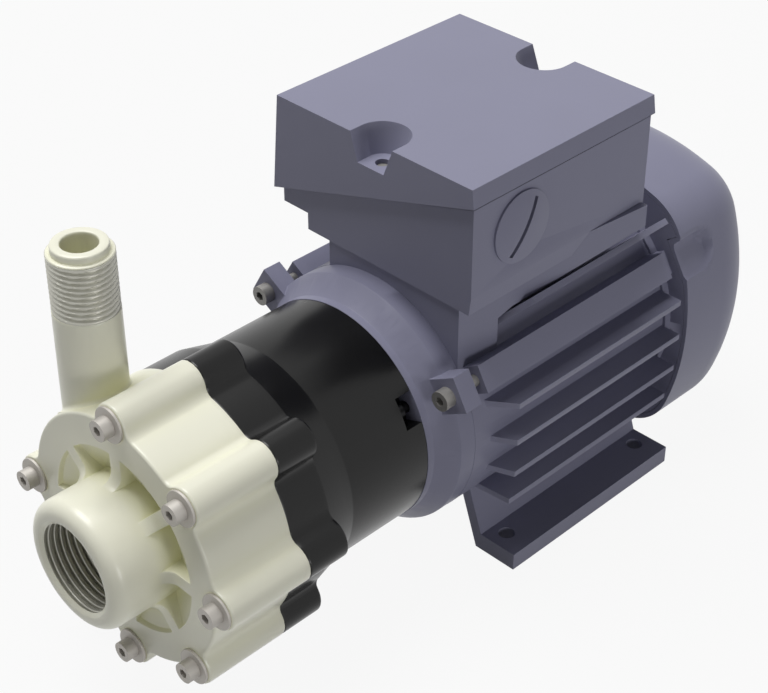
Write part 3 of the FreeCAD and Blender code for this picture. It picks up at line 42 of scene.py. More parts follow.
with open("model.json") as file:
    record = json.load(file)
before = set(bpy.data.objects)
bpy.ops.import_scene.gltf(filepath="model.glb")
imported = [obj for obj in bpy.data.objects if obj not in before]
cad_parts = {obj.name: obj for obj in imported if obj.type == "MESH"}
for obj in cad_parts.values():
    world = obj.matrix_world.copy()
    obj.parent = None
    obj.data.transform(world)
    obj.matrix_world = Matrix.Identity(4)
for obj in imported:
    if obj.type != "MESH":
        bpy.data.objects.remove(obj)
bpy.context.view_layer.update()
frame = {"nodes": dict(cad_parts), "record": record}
MM = 0.001
SHAFT_HEIGHT = 56.0
RIBS = 8
# Degrees round the shaft, from +y upwards.
BOSS_ANGLES = (0, 90, 135, 180, 225, 270, 315)
SCREW_ANGLES = (30, 150, 270)
# A colour Mix node's sockets share their names with the other kinds, so they go by number.
MIX_A, MIX_B, MIX_RESULT = 6, 7, 2
WHITE = (1, 1, 1, 1)
PUMP_MIDDLE = Vector((-0.04, 0, 0.08))


def linear(hex_colour):
    """A linear colour from an sRGB hex value: each channel is undone by the sRGB curve."""
    channels = [int(hex_colour[i:i + 2], 16) / 255 for i in (0, 2, 4)]
    curved = [c / 12.92 if c <= 0.04045 else ((c + 0.055) / 1.055) ** 2.4 for c in channels]
    return (*curved, 1.0)


class PumpColours(bpy.types.PropertyGroup):
    """Colours of the four mouldings and castings that are seen most."""
    casing: bpy.props.FloatVectorProperty(
        name="Casing", description="Ivory of the moulded casing", subtype="COLOR", size=4,
        default=linear("E9E8D6"), min=0.0, max=1.0)
    bracket: bpy.props.FloatVectorProperty(
        name="Bracket", description="Black of the moulded bracket", subtype="COLOR", size=4,
        default=linear("090909"), min=0.0, max=1.0)
    motor: bpy.props.FloatVectorProperty(
        name="Motor", description="Slate grey of the motor's enamel", subtype="COLOR", size=4,
        default=linear("828296"), min=0.0, max=1.0)
    box: bpy.props.FloatVectorProperty(
        name="Terminal box", description="Slate grey of the moulded box and lid", subtype="COLOR", size=4,
        default=linear("848498"), min=0.0, max=1.0)


class PumpEndSizes(bpy.types.PropertyGroup):
    """Sizes of the casing and its threads."""
    nose_radius: bpy.props.FloatProperty(
        name="Nose radius", description="Outer radius of the suction nose", default=0.0222, unit="LENGTH")
    thread_pitch: bpy.props.FloatProperty(
        name="Suction thread pitch", description="Distance between crests in the nose", default=0.002309,
        unit="LENGTH")
    pipe_pitch: bpy.props.FloatProperty(
        name="Discharge thread pitch", description="Distance between crests on the pipe", default=0.001814,
        unit="LENGTH")
    pipe_radius: bpy.props.FloatProperty(
        name="Discharge pipe radius", description="Radius over the pipe thread", default=0.01048,
        unit="LENGTH")
    rib_width: bpy.props.FloatProperty(
        name="Front rib width", description="Width of each rib in the dished front", default=0.0051,
        unit="LENGTH")


class MotorSizes(bpy.types.PropertyGroup):
    """Edges and smoothness of the motor's pieces."""
    edge_break: bpy.props.FloatProperty(
        name="Casting edge", description="Width of the broken edges on the castings", default=0.0005,
        unit="LENGTH")
    box_edge: bpy.props.FloatProperty(
        name="Box edge", description="Width of the broken edges on the terminal box", default=0.0007,
        unit="LENGTH")
    cowl_steps: bpy.props.IntProperty(
        name="Cowl steps", description="Steps along each side of the cowl's outline", default=40,
        min=8, max=80)


def add_node(tree, kind, settings=None, links=None, **values):
    """Adds one node: settings are its properties, links join its sockets, values fill its inputs."""
    node = tree.nodes.new(kind)
    for key, value in (settings or {}).items():
        setattr(node, key, value)
    for key, value in values.items():
        node.inputs[key.replace("_", " ")].default_value = value
    for key, socket in (links or {}).items():
        tree.links.new(socket, node.inputs[key])
    return node


def new_material(name):
    """An empty node material with a shader and its output."""
    material = bpy.data.materials.new(name)
    material.use_nodes = True
    tree = material.node_tree
    tree.nodes.clear()
    shader = tree.nodes.new("ShaderNodeBsdfPrincipled")
    out = tree.nodes.new("ShaderNodeOutputMaterial")
    tree.links.new(shader.outputs["BSDF"], out.inputs["Surface"])
    return material, tree, shader


def wandering(tree, shader, low, high, patch_mm, roughness, spread):
    """Lets colour and roughness wander between two values, by noise whose patches are patch_mm across.

    Gives the sockets of the colour and of the object coordinates.
    """
    place = add_node(tree, "ShaderNodeTexCoord").outputs["Object"]
    patch = add_node(tree, "ShaderNodeTexNoise", links={"Vector": place}, Scale=1.0 / (patch_mm * MM),
                     Detail=3.0, Roughness=0.55)
    mix = add_node(tree, "ShaderNodeMix", {"data_type": "RGBA"}, {"Factor": patch.outputs["Fac"]})
    mix.inputs[MIX_A].default_value = low
    mix.inputs[MIX_B].default_value = high
    rough = add_node(tree, "ShaderNodeMapRange", links={"Value": patch.outputs["Fac"]},
                     To_Min=roughness - spread, To_Max=roughness + spread)
    tree.links.new(rough.outputs["Result"], shader.inputs["Roughness"])
    return mix.outputs[MIX_RESULT], place


def finish(name, low, high, roughness, metallic=0.0, patch_mm=18.0, grain_mm=0.6, grain=0.1, spread=0.06,
           shine=0.5, ior=1.5, hollow=None, reach_mm=9.0):
    """A finish whose colour wanders between two values over patch_mm, with a fine grain in its relief.

    Where hollow is given, the colour goes over to it in corners narrower than reach_mm, found by ambient
    occlusion: a painted bounce-light tint.
    A metal keeps the default IOR.
    """
    material, tree, shader = new_material(name)
    colour, place = wandering(tree, shader, low, high, patch_mm, roughness, spread)
    if hollow:
        # Painted bounce light: ambient occlusion tints narrow corners towards the hollow colour.
        corner = add_node(tree, "ShaderNodeAmbientOcclusion", {"samples": 6}, Distance=reach_mm * MM)
        painted_bounce_mix = add_node(tree, "ShaderNodeMix", {"data_type": "RGBA"}, {"Factor": corner.outputs["AO"]})
        painted_bounce_mix.inputs[MIX_A].default_value = hollow
        tree.links.new(colour, painted_bounce_mix.inputs[MIX_B])
        colour = painted_bounce_mix.outputs[MIX_RESULT]
    tree.links.new(colour, shader.inputs["Base Color"])
    shader.inputs["Metallic"].default_value = metallic
    if metallic < 0.5:
        shader.inputs["IOR"].default_value = ior
    shader.inputs["Specular IOR Level"].default_value = shine
    fine = add_node(tree, "ShaderNodeTexNoise", links={"Vector": place}, Scale=1.0 / (grain_mm * MM),
                    Detail=2.0, Roughness=0.55)
    bump = add_node(tree, "ShaderNodeBump", links={"Height": fine.outputs["Fac"]}, Strength=grain,
                    Distance=0.02 * MM)
    tree.links.new(bump.outputs["Normal"], shader.inputs["Normal"])
    return material


def turned_metal(name, low, high, roughness, groove_mm=0.12):
    """Turned or ground metal: rings about the shaft's direction show in its relief.

    Real tool marks are about 0.1 mm apart. The Wave node draws one ring in
    2 pi / 20 of its unit, so they come 2 pi groove_mm apart, wide enough to show.
    """
    material, tree, shader = new_material(name)
    colour, place = wandering(tree, shader, low, high, 6.0, roughness, 0.05)
    tree.links.new(colour, shader.inputs["Base Color"])
    shader.inputs["Metallic"].default_value = 1.0
    rings = add_node(tree, "ShaderNodeTexWave", {"bands_direction": "X"}, {"Vector": place},
                     Scale=1.0 / (groove_mm * MM * 20), Distortion=2.0, Detail=2.0)
    bump = add_node(tree, "ShaderNodeBump", links={"Height": rings.outputs["Fac"]}, Strength=0.06,
                    Distance=0.01 * MM)
    tree.links.new(bump.outputs["Normal"], shader.inputs["Normal"])
    return material


def paler(colour, share):
    """The same linear colour, lighter by a share of itself."""
    return (*(channel * (1 + share) for channel in colour[:3]), 1.0)


def make_materials(colours):
    """Every finish of the pump, each named for what the real one is.

    Mould grain, orange peel and blasting marks are a few tenths of a millimetre
    wide on the real pump. They are drawn up to four times as wide, so that they show.
    """
    made = {}
    # Injection-moulded polypropylene, ivory, with a soft sheen; its hollows are tinted greenish yellow by
    # painted bounce light.
    made["casing_plastic"] = finish("moulded_ivory_polypropylene", colours.casing,
                                    paler(colours.casing, 0.03), 0.3, grain_mm=0.8, grain=0.05,
                                    patch_mm=30.0, hollow=linear("F0EFC4"))
    # The same plastic cut by a die, painted silvery grey and half metallic: a painted reflection of the light
    # on the thread's steep flanks.
    made["thread_plastic"] = finish("ivory_thread_painted_sheen", linear("BDBCB2"), linear("C6C5BB"), 0.36,
                                    metallic=0.5, grain_mm=0.4, grain=0.05, patch_mm=12.0)
    # Glass-filled nylon from a satin mould: black with broad soft highlights.
    made["black_plastic"] = finish("satin_black_nylon", colours.bracket, paler(colours.bracket, 0.22), 0.26,
                                   grain_mm=1.0, grain=0.02, patch_mm=25.0, spread=0.03, shine=0.3)
    # Stoved enamel on die-cast alloy: satin slate grey with a violet cast and very slight orange peel.
    made["motor_paint"] = finish("stoved_slate_enamel", colours.motor, paler(colours.motor, 0.082), 0.4,
                                 grain_mm=1.2, grain=0.1, patch_mm=22.0, shine=0.15)
    # Moulded thermoplastic in the motor's colour: the same grey, with a finer grain.
    made["box_plastic"] = finish("moulded_slate_thermoplastic", colours.box, paler(colours.box, 0.081), 0.42,
                                 grain_mm=0.9, grain=0.06, patch_mm=30.0, shine=0.15)
    # Zinc-flake coated cold-headed steel: pale warm grey and nearly matt.
    made["steel"] = finish("matt_zinc_flake_steel", linear("B0ACA6"), linear("BBB7B1"), 0.6, metallic=0.6,
                           patch_mm=5.0, grain_mm=0.3, grain=0.08)
    # Phosphated steel: darker grey than the zinc flake, and matt.
    made["grey_steel"] = finish("phosphated_steel", linear("84827F"), linear("8F8D8A"), 0.5, metallic=0.5,
                                patch_mm=5.0, grain_mm=0.3, grain=0.08)
    # Black-oxide steel: dark metal with an oily sheen.
    made["dark_steel"] = turned_metal("black_oxide_steel", linear("232324"), linear("2C2C2E"), 0.35)
    # Electrical sheet and magnets: dull dark grey metal.
    made["cast"] = finish("machined_electrical_sheet", linear("6C6C70"), linear("7A7A7E"), 0.5, metallic=0.9)
    # Die-cast aluminium: pale, slightly grainy metal.
    made["aluminium"] = finish("die_cast_aluminium", linear("BCBEC2"), linear("CACCD0"), 0.45, metallic=1.0)
    # Enamelled copper wire: warm lacquered metal.
    made["copper"] = finish("enamelled_copper_wire", linear("A65A2C"), linear("B9693A"), 0.3, metallic=0.9,
                            patch_mm=4.0, grain_mm=1.0, grain=0.6)
    # Turned brass: yellow metal with fine rings.
    made["brass"] = turned_metal("turned_brass", linear("B9975A"), linear("C8A668"), 0.28)
    # Moulded fluoroelastomer: near-black and matt.
    made["rubber"] = finish("moulded_black_elastomer", linear("151515"), linear("1B1B1B"), 0.7, grain_mm=0.5,
                            grain=0.2)
    # Ground alumina ceramic: white, dense and smooth.
    made["ceramic"] = finish("ground_alumina_ceramic", linear("E6E2D6"), linear("EDEADF"), 0.25,
                             grain_mm=0.3, grain=0.05, ior=1.7)
    # Phenolic moulding compound: brown with a dull gloss.
    made["board"] = finish("brown_phenolic_moulding", linear("4A2418"), linear("552B1E"), 0.4, grain_mm=0.6,
                           grain=0.15)
    return made


MATERIALS = {}


def finishes(context):
    """The materials, made from the chosen colours when the first piece asks for them."""
    if not MATERIALS:
        MATERIALS.update(make_materials(context.scene.pump_colours))
    return MATERIALS


def outward(points, quads):
    """Turns the faces over where the closed surface's signed volume is negative."""
    a, b, c, d = (points[quads[:, i]] for i in range(4))
    volume = (np.einsum("ij,ij->i", a, np.cross(b, c)) + np.einsum("ij,ij->i", a, np.cross(c, d))).sum()
    return quads if volume > 0 else quads[:, ::-1]


def grid_faces(rows, columns, close_rows, close_columns):
    """The quads of a rows by columns grid of points, joined round either way."""
    index = np.arange(rows * columns).reshape(rows, columns)
    if close_rows:
        index = np.vstack([index, index[:1]])
    if close_columns:
        index = np.hstack([index, index[:, :1]])
    corners = (index[:-1, :-1], index[1:, :-1], index[1:, 1:], index[:-1, 1:])
    return np.stack(corners, -1).reshape(-1, 4)


def round_steps(count):
    """Evenly spaced angles of a full turn."""
    return np.linspace(0, 2 * math.pi, count, endpoint=False)


def add_object(name, data):
    """Links a new object, with its mesh, lamp or camera, to the scene."""
    item = bpy.data.objects.new(name, data)
    bpy.context.scene.collection.objects.link(item)
    return item


def add_piece(name, points_mm, quads, material, body, replaced=(), sharp=38.0):
    """Puts one worked-out closed surface into the scene, on its body and with its finish."""
    quads = outward(points_mm, quads)
    points = (points_mm + np.array((0, 0, SHAFT_HEIGHT))) * MM
    mesh = bpy.data.meshes.new(name)
    mesh.from_pydata(points.tolist(), [], quads.tolist())
    mesh.validate()
    mesh.shade_smooth()
    mesh.set_sharp_from_angle(angle=math.radians(sharp))
    piece = add_object(name, mesh)
    mesh.materials.append(material)
    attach(piece, body)
    if replaced:
        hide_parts(*replaced)


def ring_surface(x, radius, angles):
    """Points from x and radius tables, profile by angle: y = radius cos(angle), z = radius sin(angle)."""
    x = np.broadcast_to(x, radius.shape)
    return np.stack([x, radius * np.cos(angles), radius * np.sin(angles)], -1).reshape(-1, 3)


def revolve(name, profile, material, body, steps=64):
    """A closed profile of (x, radius) points, turned about the shaft axis."""
    profile = np.array(profile, float)
    radius = np.repeat(profile[:, 1:2], steps, axis=1)
    points = ring_surface(profile[:, 0:1], radius, round_steps(steps)[None, :])
    add_piece(name, points, grid_faces(len(profile), steps, True, True), material, body)


def angle_off(angles, degrees):
    """How far each angle stands off a direction in degrees, the shorter way round."""
    return np.abs((angles - math.radians(degrees) + math.pi) % (2 * math.pi) - math.pi)


def lobed_outline(angles, plain_r, ring_r=44.8, boss_r=6.8, blend=4.0):
    """Radius of the lobed outline at each angle.

    It is the plain circle, with a boss circle at each screw, and a hollow arc
    that touches both: where a ray meets a circle of radius q about a centre at
    distance c and angle d from the ray, the radius is c cos d + sqrt(q2 - c2 sin2 d),
    or with a minus sign for the hollow arc, which the ray enters first.
    """
    reach = plain_r + blend
    swing = math.acos((ring_r**2 + reach**2 - (boss_r + blend) ** 2) / (2 * ring_r * reach))
    share = boss_r / (boss_r + blend)
    touch_x = ring_r + share * (reach * math.cos(swing) - ring_r)
    touch_y = share * reach * math.sin(swing)
    touch = math.atan2(touch_y, touch_x)
    radius = np.full_like(angles, plain_r)
    for boss in BOSS_ANGLES:
        off = angle_off(angles, boss)
        on_boss = off <= touch
        round_part = ring_r * np.cos(off) + np.sqrt(np.maximum(boss_r**2 - (ring_r * np.sin(off)) ** 2, 0))
        radius = np.where(on_boss, round_part, radius)
        in_hollow = (off > touch) & (off < swing)
        lean = swing - off
        hollow = reach * np.cos(lean) - np.sqrt(np.maximum(blend**2 - (reach * np.sin(lean)) ** 2, 0))
        radius = np.where(in_hollow, hollow, radius)
    return radius


def smooth_step(value, low, high):
    """0 below low, 1 above high, and 3t2 - 2t3 between them."""
    t = np.clip((value - low) / (high - low), 0, 1)
    return t * t * (3 - 2 * t)


def rib_columns(half_rib):
    """Where the columns of the casing's grid stand.

    At each rib they keep a fixed distance from its middle line, so that its
    flanks run parallel, and between two ribs they share out the angle evenly.
    Gives a function from radius to angles, and how far each column is lifted.
    """
    # Distance out from a flank in mm, and the share of the rib's height kept there.
    flank = ((-0.5, 1.0), (-0.15, 0.97), (0.0, 0.86), (0.06, 0.14), (0.22, 0.03), (0.6, 0.0))
    offsets = [-(half_rib + out) for out, _ in flank[::-1]] + [-half_rib / 3, half_rib / 3]
    offsets = np.array(offsets + [half_rib + out for out, _ in flank])
    lifts = [lift for _, lift in flank[::-1]] + [1.0, 1.0] + [lift for _, lift in flank]
    shares = np.linspace(0, 1, 72)[1:-1]
    lift = np.tile(np.concatenate([lifts, np.zeros(len(shares))]), RIBS)
    sector = 2 * math.pi / RIBS

    def angles(radius):
        near = np.arcsin(offsets / radius)
        between = near[-1] + (sector + near[0] - near[-1]) * shares
        one_sector = np.concatenate([near, between])
        return np.concatenate([one_sector + index * sector for index in range(RIBS)])

    return angles, lift


def casing_body(sizes, materials):
    """The casing: a closed profile carried round the shaft, whose rim and dish change with the angle.

    The rim follows the lobed outline. The dish falls from the ring by a short
    wall, and runs as a cone to the nose. Each rib fills it up to the ring's
    plane, and runs out along the nose in a hollow quarter circle:
    x = face - (R - sqrt(R2 - (nose + R - r)2)).
    """
    nose = sizes.nose_radius / MM
    angles_at, lift = rib_columns(sizes.rib_width / MM / 2)
    split, face, front = -133.8, -165.0, -184.6
    ring_r, dish_r, depth, hollow = 33.6, 32.5, 5.5, 4.2
    rim_edge, nose_edge = 0.9, 4.5
    outer = angles_at(ring_r)
    rim = lobed_outline(outer, 43.5)
    rear_rim = lobed_outline(outer, 43.8)
    one = np.ones(len(outer))
    rows = []

    def row(x, radius, reach=ring_r):
        """One ring of points, whose columns stand as the ribs' flanks do at the radius reach."""
        rows.append((x * one, radius * one, angles_at(reach)))

    def dish(radius):
        """The dish's plane at a radius: a short wall and a cone, or a rib's top."""
        fall = max(dish_r + 0.15 - radius, 0.0)
        rise = hollow - math.sqrt(max(hollow**2 - max(nose + hollow - radius, 0.0) ** 2, 0.0))
        cone = np.interp(fall, (0.0, 0.15, 0.55, dish_r - nose), (0.0, 0.2, 1.7, depth))
        return face + cone * (1 - lift) - rise * lift

    # The joint face, then the rim with its draft, its rounded front edge and the ring's face.
    row(split, 38.5)
    row(split, 40.5)
    row(split, rear_rim - 0.3)
    row(split - 0.1, rear_rim - 0.08)
    row(split - 0.3, rear_rim)
    for share in np.linspace(0.05, 0.95, 7):
        row(split + (face - split) * share, rear_rim + (rim - rear_rim) * share)
    for turn in np.linspace(0, math.pi / 2, 6):
        row(face + rim_edge * (1 - math.sin(turn)), rim - rim_edge * (1 - math.cos(turn)))
    row(face, rim - rim_edge - 0.4)
    row(face, 39.0)
    row(face, 35.5)
    # The dish, with close rings at its wall and in the ribs' hollow run-outs.
    for radius in (ring_r, 32.9, 32.75, 32.65, 32.5, 32.4, 32.25, 32.1, 31.9, 31.2, 30.5, 29.5, 28.5, 27.5):
        row(dish(radius), radius, radius)
    for turn in np.linspace(0, math.pi / 2, 10):
        radius = nose + hollow * (1 - math.sin(turn))
        row(dish(radius), radius, radius)
    # The nose: its side, its round edge and its chamfered mouth.
    start = dish(nose)
    for share in (0.08, 0.25, 0.5, 0.75):
        row(start + (front + nose_edge - start) * share, nose, nose)
    for turn in np.linspace(0, math.pi / 2, 9):
        row(front + nose_edge * (1 - math.sin(turn)), nose - nose_edge * (1 - math.cos(turn)), nose)
    mouth = ((front, 16.6), (front + 0.04, 16.45), (front + 1.1, 15.3), (front + 1.15, 16.95))
    # The thread's bore, the passage behind it, the pump chamber and the seal's land.
    inside = ((-165.6, 16.95), (-165.6, 13.5), (-157.5, 13.5), (-157.5, 29.0), (-139.0, 29.0), (-139.0, 38.5))
    for x, radius in mouth + inside:
        row(x, radius, nose)
    x, radius, angles = (np.array(table) for table in zip(*rows))
    quads = grid_faces(len(rows), len(one), True, True)
    add_piece("casing_body", ring_surface(x, radius, angles), quads, materials["casing_plastic"], "frame",
              ("pump_casing",), sharp=42.0)


def thread_shape(phase, root, crest):
    """A thread form over half a pitch: 0 up to the share root, 1 beyond the share crest, straight between."""
    slope = np.abs(((phase + 0.5) % 1.0) - 0.5) * 2
    return np.clip((slope - root) / (crest - root), 0, 1)


def helix_phase(along, angles, pitch):
    """How many pitches each point is from the thread's start: (x - p a / 2 pi) / p."""
    return (along[:, None] - pitch * angles[None, :] / (2 * math.pi)) / pitch


def suction_thread(sizes, materials):
    """The nose's female thread: a tube whose inner radius runs in a helix.

    With t the thread's form, the radius is r = r0 - h sin(t pi / 2).
    """
    front, rear, steps = -183.5, -166.0, 160
    root_r, height, tube_r = 16.5, 1.35, 17.2
    angles = round_steps(steps)
    x = np.linspace(front, rear, 150)
    form = thread_shape(helix_phase(x, angles, sizes.thread_pitch / MM), 0.05, 0.6)
    inner = root_r - height * np.sin(form * math.pi / 2)
    x_rows = np.concatenate([x, [rear, front]])
    radius = np.vstack([inner, np.full((2, steps), tube_r)])
    points = ring_surface(x_rows[:, None], radius, angles[None, :])
    quads = grid_faces(len(x_rows), steps, True, True)
    add_piece("suction_thread", points, quads, materials["thread_plastic"], "frame",
              sharp=60.0)


def discharge_pipe(sizes, materials):
    """The upright pipe: rings about its own axis, with a tapered stem, a collar, a spigot and its thread.

    Its foot flares by a quarter circle where it meets the casing, measured
    from the casing's height sqrt(R2 - y2) at each angle. The thread is
    r = r0 - h (1 - t((z - p a / 2 pi) / p)), faded out at both ends.
    """
    crest, height = sizes.pipe_radius / MM, 1.05
    steps = 144
    centre_x, centre_y = -152.0, 24.8
    flare, casing_r, collar = 1.6, 43.5, 68.4
    angles = round_steps(steps)
    one = np.ones(steps)

    def stem(z):
        """The stem's radius tapers by 0.3 mm over its height."""
        return 10.85 - 0.3 * (z - 20.0) / 48.6

    def stand(name, rows, material):
        """Rings of (height, radius) about the pipe's axis, either of which may change with the angle."""
        z, radius = (np.array([row[i] * one for row in rows]) for i in (0, 1))
        points = np.stack([centre_x + radius * np.sin(angles), centre_y + radius * np.cos(angles), z], -1)
        add_piece(name, points.reshape(-1, 3), grid_faces(len(rows), steps, True, True), materials[material],
                  "frame", sharp=50.0)

    ground = np.sqrt(casing_r**2 - (centre_y + 11.0 * np.cos(angles)) ** 2)
    rows = [(ground + z, 10.8 + flare) for z in (-4.0, -1.0)]
    for share in np.linspace(0.0, 1.0, 8):
        z = ground + flare * share
        rows.append((z, stem(z) + flare - math.sqrt(flare**2 - (flare - flare * share) ** 2)))
    top = ground + flare
    for share in (0.25, 0.5, 0.75, 0.97, 1.0):
        z = top + (collar - top) * share
        rows.append((z, stem(z)))
    # The thread's core, the collar over it, the spigot, its rounded lip and the bore.
    rows += [(68.6, 10.4), (68.6, 9.0), (88.15, 9.0),
             (88.15, 10.25), (88.3, 10.33), (88.45, 10.25), (88.6, 10.05), (88.6, 9.2),
             (88.75, 9.0), (90.6, 8.9), (91.0, 8.75), (91.2, 8.4),
             (91.2, 6.15), (91.1, 5.95), (90.8, 5.8), (90.0, 5.75), (60.0, 5.75), (30.0, 5.75)]
    stand("discharge_pipe", rows, "casing_plastic")
    low, high, core_r = 68.5, 88.2, 8.9
    z = np.linspace(low, high, 134)
    fade = smooth_step(z, 68.3, 69.6) * (1 - smooth_step(z, 87.4, high))
    form = thread_shape(helix_phase(z, angles, sizes.pipe_pitch / MM), 0.1, 0.88)
    depth = height * (1 - form) * fade[:, None]
    thread = [(z[i], crest - depth[i]) for i in range(len(z))]
    stand("discharge_thread", thread + [(high, core_r), (low, core_r)], "thread_plastic")


def radial_bars(name, directions, along, x, side, material):
    """Like bars that stand out from the axis, as one mesh.

    x and side are tables of along by section points. A bar's point at the
    distance a and the side s is (x, a cos d - s sin d, a sin d + s cos d).
    """
    out = along[:, None] + 0 * side
    points, faces = [], []
    for index, lean in enumerate(directions):
        bar = np.stack([x + 0 * side, out * math.cos(lean) - side * math.sin(lean),
                        out * math.sin(lean) + side * math.cos(lean)], -1).reshape(-1, 3)
        points.append(bar)
        faces.append(outward(bar, grid_faces(*side.shape, False, True)) + len(bar) * index)
    add_piece(name, np.vstack(points), np.vstack(faces), material, "frame")


def suction_spider(materials):
    """The three-armed spider in the suction bore: a domed hub, and arms whose section is an ellipse."""
    material = materials["casing_plastic"]
    profile = [(-157.4, 0.01), (-157.4, 8.0), (-161.5, 8.0), (-163.0, 7.4), (-164.0, 6.0), (-164.4, 3.0),
               (-164.5, 0.01)]
    revolve("spider_hub", profile, material, "frame")
    turns = round_steps(24)
    along = np.linspace(6.5, 14.6, 6)
    side = 1.5 * np.sin(turns)[None, :] + 0 * along[:, None]
    x = -160.7 + 3.0 * np.cos(turns)[None, :] + 0 * along[:, None]
    directions = [math.radians(90 + 120 * index) for index in range(3)]
    radial_bars("spider_arms", directions, along, x, side, material)


def bracket_shell(materials):
    """The lantern: a closed profile carried round the shaft.

    In front it follows the lobed outline, its middle is a cone, and behind it
    has three open notches: the radius drops to their floor within half their width.
    """
    face, step, rear = -133.8, -117.7, -71.5
    cone_r, waist_r = 43.4, 40.45
    notch_floor, notch_top, notch_width = 33.0, 40.4, 11.0
    half = math.asin(notch_width / 2 / notch_top)
    sides = (-half - 0.002, -half, half, half + 0.002)
    cuts = [math.radians(angle) + side for angle in SCREW_ANGLES for side in sides]
    angles = np.sort(np.concatenate([round_steps(540), np.array(cuts) % (2 * math.pi)]))
    one = np.ones(len(angles))
    lobes = lobed_outline(angles, cone_r)
    in_notch = np.any([angle_off(angles, angle) <= half + 1e-6 for angle in SCREW_ANGLES], axis=0)
    floor = np.where(in_notch, notch_floor, waist_r)
    rows = []

    def row(x, radius):
        """One ring of points."""
        rows.append((x * one, radius * one))

    row(face, 35.5)
    row(face, lobes - 0.5)
    row(face + 0.15, lobes - 0.15)
    row(face + 0.5, lobes)
    for share in np.linspace(0.1, 0.9, 6):
        row(face + (step - face) * share, lobes)
    # The bosses' rear edges are rounded, and fade out where the outline meets the cone.
    rise = np.maximum(lobes - cone_r, 0)
    edge = np.minimum(1.0, rise * 0.45) + 0.02
    for turn in np.linspace(0, math.pi / 2, 6):
        row(step - edge + edge * math.sin(turn), lobes - edge * (1 - math.cos(turn)))
    row(step + 0.02, cone_r + rise * 0.35)
    cone = ((step + 0.04, 43.36), (-113.5, 42.4), (-109.5, 41.4), (-105.6, 40.5), (-105.3, waist_r))
    waist = ((-105.0, waist_r), (-95.0, waist_r), (-85.0, waist_r), (-78.25, waist_r))
    # The notches' floor, the rear face, and the seat of the end shield's spigot.
    back = ((-78.2, floor), (rear, floor), (rear, 25.05), (-76.5, 25.05), (-76.5, 32.8), (-79.5, 32.8),
            (-79.5, 35.5))
    for x, radius in cone + waist + back:
        row(x, radius)
    x, radius = (np.array(table) for table in zip(*rows))
    quads = grid_faces(len(rows), len(angles), True, True)
    add_piece("bracket_shell", ring_surface(x, radius, angles[None, :]), quads, materials["black_plastic"],
              "frame", ("bracket",), sharp=12.0)


def softened(node, name, width_mm, material, segments=2, flush=(), moved=None):
    """A copy of a CAD piece, merged and cleared of flat seams, with a narrow rounding on its sharp edges.

    Edges that lie in a plane across the shaft named in flush keep their corner,
    because another piece stands against them there. Where moved is given, it
    yields a corner's new place from its old one, in millimetres about the shaft.
    """
    flat, crease, knife = math.radians(0.6), math.radians(32.0), math.radians(150)
    mesh = frame["nodes"][node].data.copy()
    mesh.name = name
    mesh.materials.clear()
    mesh.materials.append(material)
    edit = bmesh.new()
    edit.from_mesh(mesh)
    bmesh.ops.remove_doubles(edit, verts=edit.verts, dist=0.002 * MM)
    bmesh.ops.dissolve_limit(edit, angle_limit=flat, verts=edit.verts, edges=edit.edges)
    if moved:
        for vertex in edit.verts:
            x, y, z = moved(vertex.co.x / MM, vertex.co.y / MM, vertex.co.z / MM - SHAFT_HEIGHT)
            vertex.co = (x * MM, y * MM, (z + SHAFT_HEIGHT) * MM)
        edit.normal_update()
    weight = edit.edges.layers.float.new("bevel_weight_edge")
    for edge in edit.edges:
        ends = [vertex.co.x / MM for vertex in edge.verts]
        free = all(max(abs(x - plane) for x in ends) > 0.05 for plane in flush)
        fold = edge.calc_face_angle(0.0) if len(edge.link_faces) == 2 else 0.0
        edge[weight] = 1.0 if crease < fold < knife and free else 0.0
    edit.to_mesh(mesh)
    edit.free()
    mesh.shade_smooth()
    mesh.set_sharp_from_angle(angle=crease)
    piece = add_object(name, mesh)
    bevel = piece.modifiers.new("rounded_edges", "BEVEL")
    bevel.width = width_mm * MM
    bevel.segments = segments
    bevel.limit_method = "WEIGHT"
    bevel.harden_normals = True
    bevel.use_clamp_overlap = True
    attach(piece, "frame")
    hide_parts(node)


def neck_moved(x, y, z):
    """The neck's under edge climbs towards the back, and its ledge grows out of the plinth's near face."""
    edge_z, level, slope, ledge_x = 46.0, 45.77, 0.1134, 4.5
    if y < -20 and -33 < x < 29 and abs(z - edge_z) < 0.3:
        return x, y, level + slope * x
    if abs(x - ledge_x) < 0.2 and y < -40:
        return (1.6, -43.02, z) if z > 54 else (-6.2, -42.2, z)
    return x, y, z


def box_moved(x, y, z):
    """The box's rim rises to the lid.

    Its corners lie in a plane a gap under the lid's edge, which climbs evenly
    from the far wall at y0, z0 to the near wall at y1, z1.
    """
    y0, z0, y1, z1 = 42.8, 63.6, -43.0, 90.6
    gap, rise = 1.0, 0.97
    rim = z0 + (y0 - y) * (z1 - z0) / (y0 - y1) - gap
    if abs(z - rim) < 0.15:
        return x, y, z + rise
    return x, y, z


